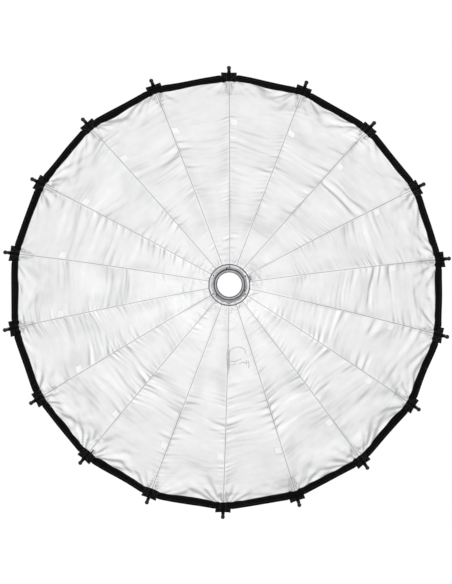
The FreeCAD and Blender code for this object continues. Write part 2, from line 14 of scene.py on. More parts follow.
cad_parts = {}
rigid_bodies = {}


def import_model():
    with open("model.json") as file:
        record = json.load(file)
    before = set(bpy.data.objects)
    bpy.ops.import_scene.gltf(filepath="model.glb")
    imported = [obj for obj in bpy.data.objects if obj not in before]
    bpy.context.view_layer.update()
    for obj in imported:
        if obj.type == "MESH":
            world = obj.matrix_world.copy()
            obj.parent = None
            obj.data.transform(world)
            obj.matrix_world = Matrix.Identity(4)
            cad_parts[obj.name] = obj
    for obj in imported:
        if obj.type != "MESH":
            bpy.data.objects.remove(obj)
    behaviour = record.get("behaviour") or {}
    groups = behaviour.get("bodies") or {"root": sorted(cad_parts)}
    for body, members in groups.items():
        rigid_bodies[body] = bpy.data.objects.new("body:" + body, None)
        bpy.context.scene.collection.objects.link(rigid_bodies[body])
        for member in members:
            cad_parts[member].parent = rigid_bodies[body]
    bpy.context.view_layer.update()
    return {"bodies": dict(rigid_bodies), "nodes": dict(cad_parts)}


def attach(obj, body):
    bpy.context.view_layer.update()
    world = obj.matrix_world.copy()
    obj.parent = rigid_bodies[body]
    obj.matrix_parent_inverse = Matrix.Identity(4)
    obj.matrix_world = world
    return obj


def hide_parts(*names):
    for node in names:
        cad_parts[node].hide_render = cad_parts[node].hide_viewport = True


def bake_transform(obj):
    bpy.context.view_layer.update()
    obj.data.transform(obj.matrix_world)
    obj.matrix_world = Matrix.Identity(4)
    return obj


bl_info = {
    "name": "Folding Umbrella Reflector",
    "version": (1, 0, 0),
    "blender": (4, 5, 0),
    "location": "View3D > Sidebar > Reflector",
    "description": "Cloth, trimmings and finishes of a folding parabolic reflector dish",
    "category": "Add Mesh",
}

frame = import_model()

RIB_COUNT = sum(name.startswith("rib_") for name in frame["bodies"])
GORE_TURN = 2 * math.pi / RIB_COUNT
HALF_GORE = GORE_TURN / 2
MILLIMETRE = 0.001
SIDES = {-1: "left", 1: "right"}


# --- small helpers ----------------------------------------------------------------------


def linear(code):
    """An sRGB hex colour as linear red, green and blue."""
    parts = [int(code[place:place + 2], 16) / 255 for place in (0, 2, 4)]
    return [p / 12.92 if p <= 0.04045 else ((p + 0.055) / 1.055) ** 2.4 for p in parts]


def opaque(colour):
    return (*colour, 1.0)


def number(index):
    return f"{index + 1:02d}"


def mesh_object(name, points, faces, *finishes, edges=()):
    """A new object at the origin with its place in its mesh, in the finishes named."""
    mesh = bpy.data.meshes.new(name)
    mesh.from_pydata([tuple(p) for p in points], edges, [tuple(f) for f in faces])
    piece = bpy.data.objects.new(name, mesh)
    bpy.context.scene.collection.objects.link(piece)
    for kind in finishes:
        mesh.materials.append(finish(kind))
    mesh.polygons.foreach_set("use_smooth", [True] * len(mesh.polygons))
    mesh.update()
    return piece


def grid_piece(name, points, *finishes):
    """A sheet from an array of points: rows, columns and x, y, z."""
    rows, columns = points.shape[:2]
    return mesh_object(name, points.reshape(-1, 3), grid_faces(rows, columns), *finishes)


def places_of(piece):
    """The x, y and z of all of a piece's points."""
    places = np.empty(len(piece.data.vertices) * 3)
    piece.data.vertices.foreach_get("co", places)
    return places.reshape(-1, 3).T


def outward(piece):
    """Merges doubles, then turns all faces of a closed piece outwards."""
    work = bmesh.new()
    work.from_mesh(piece.data)
    bmesh.ops.remove_doubles(work, verts=work.verts, dist=1e-6)
    bmesh.ops.recalc_face_normals(work, faces=work.faces)
    work.to_mesh(piece.data)
    work.free()


def grid_faces(rows, columns, closed=False, joined=False):
    """Quads of a grid of points stored row by row. closed joins the last column to the first,
    and joined the last row."""
    faces = []
    for row in range(rows if joined else rows - 1):
        for column in range(columns if closed else columns - 1):
            after = (column + 1) % columns
            here, there = row * columns, (row + 1) % rows * columns
            faces.append((here + column, here + after, there + after, there + column))
    return faces


def settled(piece):
    """Makes the modifiers' result the piece's own mesh."""
    graph = bpy.context.evaluated_depsgraph_get()
    graph.update()
    mesh = bpy.data.meshes.new_from_object(piece.evaluated_get(graph))
    mesh.name = piece.name
    piece.modifiers.clear()
    piece.data = mesh
    return piece


def perlin(x, y, z):
    """Smooth noise at each point, about -0.7 to 0.7."""
    points = np.stack(np.broadcast_arrays(x, y, z), -1)
    values = [noise.noise(point) for point in points.reshape(-1, 3).tolist()]
    return np.array(values).reshape(points.shape[:-1])


def blotches(places, size, seed=0):
    """Smooth noise at places in space, in blotches of about the size."""
    return perlin(*np.moveaxis(places / size + seed, -1, 0))


# --- the dish's surface -----------------------------------------------------------------


class Dish:
    """The cloth's smooth surface, worked out from the sizes in the scene's settings."""

    def __init__(self, sizes):
        self.sizes = sizes
        root, rim = math.sin(sizes.root_slope), math.sin(sizes.rim_slope)
        self.arc = (sizes.corner_radius - sizes.throat_radius) / (rim - root)
        self.out = sizes.throat_radius - self.arc * root
        self.ahead = sizes.rim_depth + self.arc * math.cos(sizes.rim_slope)
        self.length = self.arc * (sizes.rim_slope - sizes.root_slope)

    def along_at(self, radius):
        """Length along a seam from the throat's edge out to a radius."""
        slope = np.arcsin((radius - self.out) / self.arc)
        return self.arc * (slope - self.sizes.root_slope)

    def seam_radius(self, along):
        return self.out + self.arc * np.sin(self.sizes.root_slope + along / self.arc)

    def half_width(self, along):
        """Half of a gore's width."""
        return self.seam_radius(along) * math.sin(HALF_GORE)

    def point(self, angle, along, lift=0.0):
        """Places on the cloth: straight across each gore, raised by lift towards the inside."""
        angle, along = np.broadcast_arrays(np.asarray(angle, float), np.asarray(along, float))
        middle = (np.floor(angle / GORE_TURN) + 0.5) * GORE_TURN
        return self.panel_point(middle, angle - middle, along, lift)

    def panel_point(self, middle, off, along, lift=0.0):
        """The same on the gore whose middle is given, off to one side by an angle."""
        slope = self.sizes.root_slope + along / self.arc
        reach = (self.out + self.arc * np.sin(slope)) * math.cos(HALF_GORE)
        depth = self.ahead - self.arc * np.cos(slope)
        outwards = reach - lift * np.sin(slope)
        aside = reach * np.tan(off)
        x = outwards * np.sin(middle) + aside * np.cos(middle)
        z = outwards * np.cos(middle) - aside * np.sin(middle)
        return np.stack([x, -(depth + lift * np.cos(slope)), z], -1)

    def rib_point(self, index, along, aside=0.0, lift=0.0):
        """Places by a rib, square to its own plane: aside is clockwise, lift to the inside."""
        angle = index * GORE_TURN
        slope = self.sizes.root_slope + np.asarray(along, float) / self.arc
        outwards = self.out + (self.arc - lift) * np.sin(slope)
        depth = self.ahead - (self.arc - lift) * np.cos(slope)
        x = outwards * math.sin(angle) + aside * math.cos(angle)
        z = outwards * math.cos(angle) - aside * math.sin(angle)
        return np.stack(np.broadcast_arrays(x, -depth, z), -1)


# Where the lining hangs slack: degrees clockwise from the top, share of the way to the rim,
# spread of each, and how deep its folds are.
SLACK_PLACES = [
    (112, 0.55, 24, 0.16, 0.9), (146, 0.55, 16, 0.14, 0.5), (84, 0.68, 14, 0.15, 0.8),
    (50, 0.60, 18, 0.16, 0.9), (14, 0.55, 12, 0.18, 0.6), (184, 0.52, 16, 0.15, 0.7),
    (222, 0.55, 22, 0.14, 0.7), (246, 0.68, 14, 0.14, 0.4), (275, 0.50, 14, 0.20, 0.45),
    (305, 0.62, 18, 0.15, 0.6), (340, 0.60, 14, 0.14, 0.6), (118, 0.82, 22, 0.12, 0.6),
    (0, 0.15, 24, 0.03, 0.05),
]
LEAST_SLACK, MOST_SLACK = 0.14, 1.1

# The lining's wrinkles, in metres: how wide a fold of each kind is, and how far it runs on.
FOLD_WIDTH, FOLD_RUN = 0.018, 0.24
SMALL_FOLD_WIDTH, SMALL_FOLD_RUN = 0.0095, 0.17
PUCKER_WIDTH, PUCKER_RUN = 0.0135, 0.026
CRUMPLE_WIDTH, CRUMPLE_RUN = 0.060, 0.110
CORNER_FOLD_WIDTH, CORNER_FOLD_RUN = 0.0045, 0.080
RING_CREASE_RUN = 0.045
WAVE_WIDTH = 0.13
BAND_HOLD = 0.034  # how far from the rim its band keeps the lining flat


def slackness(angle, share):
    """How loosely the lining hangs at each place, from 0 to about 1."""
    loose = np.full(np.broadcast(angle, share).shape, LEAST_SLACK)
    for turn, middle, spread, width, depth in SLACK_PLACES:
        away = (np.degrees(angle) - turn + 180) % 360 - 180
        loose = loose + depth * np.exp(-(away / spread) ** 2 - ((share - middle) / width) ** 2)
    return np.minimum(loose, MOST_SLACK)


class LiningPlaces:
    """Where places on the lining are, against its gores, its seams, the ring and the rim."""

    def __init__(self, dish, angle, along):
        angle, along = np.broadcast_arrays(np.asarray(angle, float), np.asarray(along, float))
        gore = np.floor(angle / GORE_TURN)
        self.dish = dish
        self.off = angle - (gore + 0.5) * GORE_TURN
        self.gore, self.angle = gore % RIB_COUNT, angle % (2 * math.pi)
        self.seam = np.round(self.angle / GORE_TURN) % RIB_COUNT
        self.along, self.share = along, along / dish.length
        self.from_rim = dish.length - along
        self.half_width = dish.half_width(along)
        self.across = dish.seam_radius(along) * math.cos(HALF_GORE) * np.tan(self.off)
        self.from_seam = self.half_width - np.abs(self.across)
        self.place = dish.point(self.angle, along)


# Each kind of wrinkle has its heights at the places given. A noise starts elsewhere for each
# gore or seam, so that no two of them fold alike.


def cross_folds(at, depth):
    """Folds straight across a gore, where the bent ribs leave its lining too long."""
    slant = 0.5 * perlin(at.gore * 7.3, 1.5, at.along / 0.25)
    drift = 0.008 * perlin(at.gore * 2.9, at.across / 0.08, at.along / 0.08)
    run = at.along + slant * at.across + drift
    beat = np.log1p(run / at.dish.length) * at.dish.length
    wide = perlin(at.gore * 3.17, at.across / FOLD_RUN, beat / FOLD_WIDTH)
    small = perlin(at.gore * 5.90, at.across / SMALL_FOLD_RUN, beat / SMALL_FOLD_WIDTH)
    lull = perlin(at.gore * 1.70, at.across / 0.10, at.along / 0.07)
    lull = np.clip(0.6 + 1.9 * lull, 0.1, 1.1)
    by_seam = 0.6 + 0.6 * np.abs(at.across) / at.half_width
    folds = (1.2 * wide + 0.65 * small) * lull * by_seam * slackness(at.angle, at.share)
    return depth * folds


def seam_puckers(at, depth):
    """Short gathers that each seam pulls across itself."""
    pull = np.clip(perlin(at.seam * 3.7, at.along / 0.11, 2.5) * 2.4 + 0.3, 0, 1.3)
    turn = np.sign(at.off) * at.from_seam / 0.03
    puckers = perlin(at.seam * 5.3, at.along / PUCKER_WIDTH + 0.5 * turn, 8.1)
    puckers = puckers * np.exp(-at.from_seam / PUCKER_RUN)
    puckers = puckers * (0.4 + 0.6 * np.clip(at.share / 0.25, 0, 1))
    return depth * puckers * pull


def rim_crumple(at, depth):
    """Lining pulled about near the rim, in fans of folds from both corners."""
    crumple = 0.7 * blotches(at.place, CRUMPLE_WIDTH) + 0.2 * blotches(at.place, 0.026, seed=3)
    for side in (-1, 1):
        aside = at.dish.half_width(at.dish.length) - side * at.across
        away = np.hypot(aside, at.from_rim)
        fan = perlin(at.gore * 6.1 + side, np.arctan2(at.from_rim, aside) / 0.20, away / 0.11)
        crumple = crumple + fan * away / 0.055 * np.exp(-away / 0.080)
    worst = perlin(np.cos(at.angle) * 2.2, np.sin(at.angle) * 2.2, 5.0)
    worst = np.clip(0.8 + 1.5 * worst, 0.3, 1.3)
    free = 1 - np.exp(-(at.from_rim / BAND_HOLD) ** 2)
    crumple = crumple * np.exp(-at.from_rim / CRUMPLE_RUN) * worst * free
    return depth * crumple


def corner_folds(at, depth):
    """A pair of folds at each corner, from the ends of its pocket to the seam."""
    inner = (at.from_rim - at.dish.sizes.band_width) / CORNER_FOLD_RUN
    from_fold = at.from_seam - 0.018 * (1 - inner)
    folds = np.exp(-(from_fold / CORNER_FOLD_WIDTH) ** 2) * np.clip((1.1 - inner) * 4, 0, 1)
    return depth * folds


def ring_creases(at, depth):
    """Small creases by the ring that run outwards, most of them aslant."""
    swirl = at.angle + 0.45 * perlin(at.gore * 4.1, 3.5, at.along / 0.05)
    out = at.along / RING_CREASE_RUN
    creases = np.tanh(4 * perlin(np.cos(swirl) * 10, np.sin(swirl) * 10, out + 4)) / 2
    creases = creases * np.exp(-out)
    return depth * creases


def wrinkled(dish, angle, along):
    """How far the lining stands in from its smooth surface. It lies flat at its seams and at
    the ring, and a groove follows each seam."""
    wear, at = bpy.context.scene.reflector_wrinkles, LiningPlaces(dish, angle, along)
    belly = np.cos(at.off / HALF_GORE * math.pi / 2) * np.sin(np.clip(at.share, 0, 1) * math.pi)
    lift = (
        cross_folds(at, wear.fold_depth) + seam_puckers(at, wear.pucker_depth)
        + rim_crumple(at, wear.rim_depth) + corner_folds(at, wear.corner_depth)
        + ring_creases(at, wear.ring_depth) + wear.belly * belly
        + wear.wave_depth * blotches(at.place, WAVE_WIDTH, seed=7)
    )
    held = np.clip(at.from_seam / 0.006, 0, 1) * np.clip(at.along / 0.010, 0, 1)
    groove = np.exp(-(at.from_seam / 0.0016) ** 2) * (1 - np.exp(-at.from_rim / 0.02))
    return lift * held - wear.seam_groove * groove


def painted_fold_shading(dish, lift, alongs, shares):
    """Painted shading for the lining's tone: up to 1, painted shade, where a fold turns it away
    from the light, and down to 0, painted highlight, where one turns it to the light. Where it
    lies smooth, it is painted lightest by the ring, and near the rim the painted shade of its
    folds is deeper."""
    # Painted light and shade: the smooth lining is painted lighter towards the ring, and the
    # painted shade on folds grows deeper near the rim.
    widths = 2 * dish.half_width(alongs)[:, None]
    by_rim = np.exp(-(dish.length - alongs) / 0.080)[:, None]
    smooth = 0.24 - 0.15 * np.exp(-alongs / 0.20)[:, None]
    outwards = np.gradient(lift, alongs, axis=0)
    from_seams = np.gradient(lift, shares, axis=1) / widths * np.sign(0.5 - shares)
    clear = np.clip(widths * np.minimum(shares, 1 - shares) / 0.006 - 0.6, 0, 1)
    # A slope counts from the first figure on, and in full when it is past that by the second.
    turned_in = np.clip((outwards - 0.02) / 0.38, 0, 1)
    turned_aside = np.clip((from_seams - 0.06) / 0.50, 0, 1) * clear
    # turned_out gives the painted highlight on fold sides turned to the light; turned_in and
    # turned_aside give the painted shade.
    turned_out = np.clip((-outwards - 0.01) / 0.20, 0, 1)
    shaded = (turned_in + turned_aside) * (1 + 1.2 * by_rim)
    return np.clip(smooth + shaded - smooth * turned_out, 0, 1)


# --- pieces and their shares of a gore's turn -------------------------------------------


def gore_share(piece, index):
    """For each point of a piece, how far it lies from rib index towards the next, 0 to 1."""
    x, _, z = places_of(piece)
    turned = (np.arctan2(x, z) - (index + 0.5) * GORE_TURN + math.pi) % (2 * math.pi) - math.pi
    return np.clip(turned / GORE_TURN + 0.5, 0, 1)


def hang_between_ribs(piece, index, dish, give=1.0):
    """Bakes a piece of a gore into its mesh, and works out each point's share of the turn
    between the gore's two ribs; the piece stays where it is.

    A gore is a wedge, so a point's share of the turn is its angle between the two seams, not
    its distance across the gore's widest place. For a stiff piece beside one rib, give draws
    those shares towards that rib."""
    middle = dish.length / 2
    start, end = dish.rib_point(index, middle), dish.rib_point(index + 1, middle)
    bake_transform(piece)
    shares = gore_share(piece, index)
    near = round(float(shares.mean()))
    shares = (near + (shares - near) * give).astype(np.float32)
    return piece


# --- materials --------------------------------------------------------------------------

# A noise's scale is how many of its lumps there are in a metre: 1250 is one each 0.8 mm.


def add(tree, kind, inputs=None, **settings):
    """Adds a node with its settings. An input takes a constant, a socket, or a node for the
    first thing that the node gives out."""
    node = tree.nodes.new(kind)
    for name, value in settings.items():
        setattr(node, name, value)
    for name, value in (inputs or {}).items():
        shown = [socket for socket in node.inputs if socket.enabled]
        if isinstance(name, int):
            socket = shown[name]
        else:
            socket = next(socket for socket in shown if socket.name == name)
        if isinstance(value, bpy.types.Node):
            value = next(s for s in value.outputs if s.enabled)
        if isinstance(value, bpy.types.NodeSocket):
            tree.links.new(value, socket)
        else:
            socket.default_value = value
    return node


def new_material():
    """A material with an empty tree, the tree, and the place on the piece."""
    material = bpy.data.materials.new("finish")
    material.use_nodes = True
    tree = material.node_tree
    tree.nodes.clear()
    return material, tree, add(tree, "ShaderNodeTexCoord").outputs["Object"]


def scaled(colour, factor):
    return [min(1.0, part * factor) for part in colour]


def radius_of(tree, place, square_to_axis=(1, 0, 1)):
    """Distance from an axis: the dish's own, unless another is given."""
    flat = add(tree, "ShaderNodeVectorMath", {0: place, 1: square_to_axis},
               operation="MULTIPLY")
    return add(tree, "ShaderNodeVectorMath", {0: flat}, operation="LENGTH").outputs["Value"]


# Rings of painted shade on the ring's faces, where its recesses and edges lie in shade: the
# middle of each, and half its width.
INSERT_SHADE_RINGS = [(0.0504, 0.0024), (0.0610, 0.0020)]
FLANGE_SHADE_RINGS = [(0.0700, 0.0007)]


def turned_metal(colour, roughness, painted_shade_rings=()):
    """Aluminium turned on a lathe, then anodised: fine rings round the axis and a satin sheen.

    The tool's feed of about 0.1 mm is drawn 0.8 mm wide so that it shows. Rings of painted
    shade stand for the shade in the ring's recesses and at its edges; each is given by its
    middle and half its width."""
    material, tree, place = new_material()
    radius = radius_of(tree, place)
    ring = add(tree, "ShaderNodeCombineXYZ", {"X": radius})
    noises = (ring, 1250.0, 3.0), (ring, 200.0, 1.0), (place, 70.0, 3.0)
    feed, wide, smudge = (
        add(tree, "ShaderNodeTexNoise", {"Vector": vector, "Scale": scale, "Detail": detail})
        for vector, scale, detail in noises)
    shade = add(tree, "ShaderNodeMix", {"Factor": 0.65, "A": feed, "B": wide})
    spread = add(tree, "ShaderNodeMapRange", {
        "Value": shade, "From Min": 0.32, "From Max": 0.68})
    dark, pale, groove = (opaque(scaled(colour, factor)) for factor in (0.84, 1.10, 0.14))
    tone = add(tree, "ShaderNodeMix", {
        "Factor": spread, "A": dark, "B": pale}, data_type="RGBA")
    # Each listed ring is painted shade: within its width the tone is mixed almost all the way
    # to groove, a dark painted-shade colour.
    for middle, half in painted_shade_rings:
        inside = add(tree, "ShaderNodeMath", {
            0: radius, 1: middle, 2: half}, operation="COMPARE")
        faint = add(tree, "ShaderNodeMath", {0: inside, 1: 0.92}, operation="MULTIPLY")
        tone = add(tree, "ShaderNodeMix", {"Factor": faint, "A": tone, "B": groove},
                   data_type="RGBA")
    rough = add(tree, "ShaderNodeMapRange", {
        "Value": smudge, "From Min": 0.3, "From Max": 0.7,
        "To Min": roughness - 0.06, "To Max": roughness + 0.10})
    bump = add(tree, "ShaderNodeBump", {"Height": feed, "Distance": 0.04 * MILLIMETRE})
    skin = add(tree, "ShaderNodeBsdfPrincipled", {
        "Base Color": tone, "Roughness": rough, "Normal": bump, "Metallic": 0.85})
    add(tree, "ShaderNodeOutputMaterial", {"Surface": skin})
    return material


def grained(dark, pale, cloud, gloss, relief, shine, grain=None, rod=None):
    """A finish whose tone drifts from dark to pale in a cloud, over a fine grain.

    cloud is the drift's scale and detail and the heights where it starts and ends. grain is
    the grain's scale and detail; without one the cloud is the grain too. gloss is the least
    and the most roughness, relief the grain's depth. rod is where a smooth part starts and
    ends, from the dish's axis, and its roughness."""
    material, tree, place = new_material()
    *coarse, start, end = cloud
    drift, fine = (
        add(tree, "ShaderNodeTexNoise", {"Vector": place, "Scale": scale, "Detail": detail})
        for scale, detail in (coarse, grain or coarse))
    spread = add(tree, "ShaderNodeMapRange", {
        "Value": drift, "From Min": start, "From Max": end})
    tone = add(tree, "ShaderNodeMix", {
        "Factor": spread, "A": opaque(dark), "B": opaque(pale)}, data_type="RGBA")
    rough = add(tree, "ShaderNodeMapRange", {
        "Value": fine, "To Min": gloss[0], "To Max": gloss[1]})
    if rod:
        inner, outer, smooth = rod
        is_rod = add(tree, "ShaderNodeMath", {
            0: radius_of(tree, place), 1: (inner + outer) / 2, 2: (outer - inner) / 2,
        }, operation="COMPARE")
        rough = add(tree, "ShaderNodeMix", {"Factor": is_rod, "A": rough, "B": smooth})
    bump = add(tree, "ShaderNodeBump", {"Height": fine, "Distance": relief})
    skin = add(tree, "ShaderNodeBsdfPrincipled", {
        "Base Color": tone, "Roughness": rough, "Normal": bump, **shine})
    add(tree, "ShaderNodeOutputMaterial", {"Surface": skin})
    return material


def cast_metal(colour):
    """Die-cast aluminium, bead blasted and clear coated: an even fine grain."""
    return grained(
        scaled(colour, 0.85), colour, cloud=(45.0, 3.0, 0.3, 0.7), grain=(1400.0, 2.0),
        gloss=(0.36, 0.56), relief=0.025 * MILLIMETRE,
        shine={"Metallic": 0.7, "Coat Weight": 0.15})


def screw_steel(colour, roughness):
    """Steel screws and pins, oiled black or zinc plated, with worn edges of the plating."""
    wear_and_painted_shade = [part + 0.015 for part in scaled(colour, 1.5)]
    return grained(
        colour, wear_and_painted_shade, cloud=(620.0, 4.0, 0.35, 0.75),
        gloss=(roughness - 0.08, roughness + 0.12), relief=0.03 * MILLIMETRE,
        shine={"Metallic": 0.9})


def moulded_nylon(colour):
    """Glass-filled nylon, injection moulded: matt black with a fine spark-eroded grain."""
    return grained(
        scaled(colour, 0.8), scaled(colour, 1.3), cloud=(40.0, 2.0, 0.3, 0.7),
        grain=(1100.0, 2.0), gloss=(0.42, 0.62), relief=0.08 * MILLIMETRE,
        shine={"Specular IOR Level": 0.30})


def rib_finish(colour, rod):
    """Sprung rod in satin black paint; moulded nylon where its socket and its tip cap are."""
    return grained(
        scaled(colour, 0.75), scaled(colour, 1.35), cloud=(25.0, 3.0, 0.3, 0.75),
        grain=(1100.0, 2.0), gloss=(0.44, 0.62), relief=0.07 * MILLIMETRE,
        shine={"Specular IOR Level": 0.25}, rod=rod)


def drag_rubber(colour):
    """Nitrile rubber cord: dull black with a talc bloom."""
    return grained(
        colour, scaled(colour, 2.2), cloud=(250.0, 4.0, 0.4, 0.8), gloss=(0.7, 0.88),
        relief=0.05 * MILLIMETRE, shine={"Specular IOR Level": 0.2})


def weave(tree, place, thread):
    """Height of a plain weave of crossed threads, each thread metres wide. At a scale of 1
    the bands of a wave lie pi / 10 apart."""
    threads = [add(tree, "ShaderNodeTexWave", {
        "Vector": place, "Scale": math.pi / thread / 10, "Distortion": 0.6, "Detail": 1.0,
    }, bands_direction=direction) for direction in "XY"]
    return add(tree, "ShaderNodeMath", {
        0: threads[0].outputs["Fac"], 1: threads[1].outputs["Fac"]}, operation="ADD")


def silver_lining(colour, shadow, thread_colour):
    """Polyester taffeta with a vacuum-coated silver face: a thin weave, slightly crushed.
    Its folds carry painted shade on the sides turned from the light and painted highlight on
    the sides turned to it, and a row of lockstitch follows each seam."""
    material, tree, place = new_material()
    uv = add(tree, "ShaderNodeUVMap", uv_map="SeamMap")
    map_parts = add(tree, "ShaderNodeSeparateXYZ", {0: uv})
    from_seam, along = map_parts.outputs["X"], map_parts.outputs["Y"]
    crush = add(tree, "ShaderNodeTexNoise", {"Vector": place, "Scale": 30.0, "Detail": 3.0})
    facets = add(tree, "ShaderNodeTexNoise", {"Vector": place, "Scale": 95.0, "Detail": 3.0})

    # The lining's painted shading, from painted highlight to painted shade, with a little
    # random crush mottle added to it, mixes the colour towards the shadow colour.
    crease = add(tree, "ShaderNodeAttribute", attribute_name="crease").outputs["Fac"]
    dulled = add(tree, "ShaderNodeMapRange", {
        "Value": crush, "From Min": 0.3, "From Max": 0.75, "To Min": 0.0, "To Max": 0.10})
    wear_and_painted_shade = add(tree, "ShaderNodeMath", {0: crease, 1: dulled}, operation="ADD", use_clamp=True)
    tone = add(tree, "ShaderNodeMix", {
        "Factor": wear_and_painted_shade, "A": opaque(colour), "B": opaque(shadow)}, data_type="RGBA")

    stitch_length = 3.2 * MILLIMETRE
    stitch = add(tree, "ShaderNodeMath", {0: along, 1: stitch_length}, operation="DIVIDE")
    pitch = add(tree, "ShaderNodeMath", {0: stitch}, operation="FRACT")
    dash = add(tree, "ShaderNodeMapRange", {
        "Value": pitch, "From Min": 0.12, "From Max": 0.30, "To Min": 0.6, "To Max": 1.0})
    in_row = add(tree, "ShaderNodeMapRange", {
        "Value": from_seam, "From Min": 0.5 * MILLIMETRE, "From Max": 1.4 * MILLIMETRE,
        "To Min": 0.9, "To Max": 0.0})
    thread = add(tree, "ShaderNodeMath", {0: in_row, 1: dash}, operation="MULTIPLY")
    sewn = add(tree, "ShaderNodeMix", {
        "Factor": thread, "A": tone, "B": opaque(thread_colour)}, data_type="RGBA")

    rough = add(tree, "ShaderNodeMapRange", {
        "Value": facets, "From Min": 0.3, "From Max": 0.7, "To Min": 0.46, "To Max": 0.60})
    bump = add(tree, "ShaderNodeBump", {
        "Height": weave(tree, uv, 0.9 * MILLIMETRE), "Distance": 0.012 * MILLIMETRE})
    bump = add(tree, "ShaderNodeBump", {
        "Height": facets, "Distance": 0.25 * MILLIMETRE, "Normal": bump})
    bump = add(tree, "ShaderNodeBump", {
        "Height": crush, "Distance": 0.9 * MILLIMETRE, "Normal": bump})
    skin = add(tree, "ShaderNodeBsdfPrincipled", {
        "Base Color": sewn, "Roughness": rough, "Normal": bump, "Metallic": 0.25})
    add(tree, "ShaderNodeOutputMaterial", {"Surface": skin})
    return material


def woven_nylon(colour, thread, shine, mottle=(0.75, 1.4)):
    """Nylon oxford or webbing: a plain weave of dull yarn with a faint sheen off its fibres."""
    material, tree, place = new_material()
    cloud = add(tree, "ShaderNodeTexNoise", {"Vector": place, "Scale": 22.0, "Detail": 3.0})
    yarn = weave(tree, place, thread)
    shade = add(tree, "ShaderNodeMix", {"Factor": 0.2, "A": cloud, "B": yarn})
    spread = add(tree, "ShaderNodeMapRange", {
        "Value": shade, "From Min": 0.35, "From Max": 0.75})
    dark, pale = (opaque(scaled(colour, factor)) for factor in mottle)
    tone = add(tree, "ShaderNodeMix", {
        "Factor": spread, "A": dark, "B": pale}, data_type="RGBA")
    rough = add(tree, "ShaderNodeMapRange", {
        "Value": cloud, "From Min": 0.3, "From Max": 0.7, "To Min": 0.62, "To Max": 0.8})
    bump = add(tree, "ShaderNodeBump", {"Height": yarn, "Distance": 0.08 * MILLIMETRE})
    bump = add(tree, "ShaderNodeBump", {
        "Height": cloud, "Distance": 1.2 * MILLIMETRE, "Normal": bump})
    skin = add(tree, "ShaderNodeBsdfPrincipled", {
        "Base Color": tone, "Roughness": rough, "Normal": bump, "Specular IOR Level": shine,
        "Sheen Weight": shine / 3, "Sheen Roughness": 0.5})
    add(tree, "ShaderNodeOutputMaterial", {"Surface": skin})
    return material


def finish(name):
    """The material of that name, made the first time that it is asked for."""
    if name in bpy.data.materials:
        return bpy.data.materials[name]
    colours, sizes = bpy.context.scene.reflector_colours, bpy.context.scene.reflector_sizes
    rod = (sizes.throat_radius + 0.06, sizes.corner_radius - 0.01, 0.34)
    makers = {
        "turned_aluminium": lambda: turned_metal(colours.ring_face, 0.34),
        "machined_aluminium": lambda: turned_metal(colours.ring_inside, 0.42, INSERT_SHADE_RINGS),
        "flange_aluminium": lambda: turned_metal(colours.ring_face, 0.34, FLANGE_SHADE_RINGS),
        "cast_aluminium": lambda: cast_metal(colours.ring_cast),
        "blackened_steel": lambda: screw_steel(linear("2A2A2C"), 0.42),
        "zinc_plated_steel": lambda: screw_steel(linear("A9ABAE"), 0.32),
        "moulded_nylon": lambda: moulded_nylon(colours.black_plastic),
        "painted_rod": lambda: rib_finish(colours.black_plastic, rod),
        "nitrile_rubber": lambda: drag_rubber(linear("171717")),
        "silver_taffeta": lambda: silver_lining(
            colours.lining, colours.lining_shade, colours.seam),
        "black_oxford": lambda: woven_nylon(colours.black_cloth, 1.4 * MILLIMETRE, 0.1),
        "rim_webbing": lambda: woven_nylon(colours.black_webbing, 2.2 * MILLIMETRE, 0.02),
        "bonded_thread": lambda: woven_nylon(linear("1E1E1F"), 0.5 * MILLIMETRE, 0.3),
        # Grey thread that also draws painted shade of soft folds by the lining's pocket.
        "grey_thread": lambda: woven_nylon(linear("707072"), 0.5 * MILLIMETRE, 0.3),
        "white_tape": lambda: woven_nylon(
            linear("FFFFFF"), 1.2 * MILLIMETRE, 0.3, mottle=(0.93, 1.0)),
        "grey_webbing": lambda: woven_nylon(linear("8C8C8E"), 0.8 * MILLIMETRE, 0.3),
        "grey_tape": lambda: woven_nylon(linear("B6B6B7"), 0.8 * MILLIMETRE, 0.3),
    }
    material = makers[name]()
    material.name = name
    return material


# --- settings ---------------------------------------------------------------------------

# Each of these functions makes a setting from its label, what it is, and its default.


def metres(name, description, default, **limits):
    return FloatProperty(
        name=name, description=description, default=default, unit="LENGTH", **limits)


def degrees(name, description, turn):
    return FloatProperty(
        name=name, description=description, default=math.radians(turn), unit="ROTATION")


def hex_colour(name, description, code):
    return FloatVectorProperty(
        name=name, description=description, default=linear(code), subtype="COLOR", size=3,
        min=0, max=1)


def watts(name, description, default):
    return FloatProperty(
        name=name, description=description, default=default, min=0, unit="POWER")


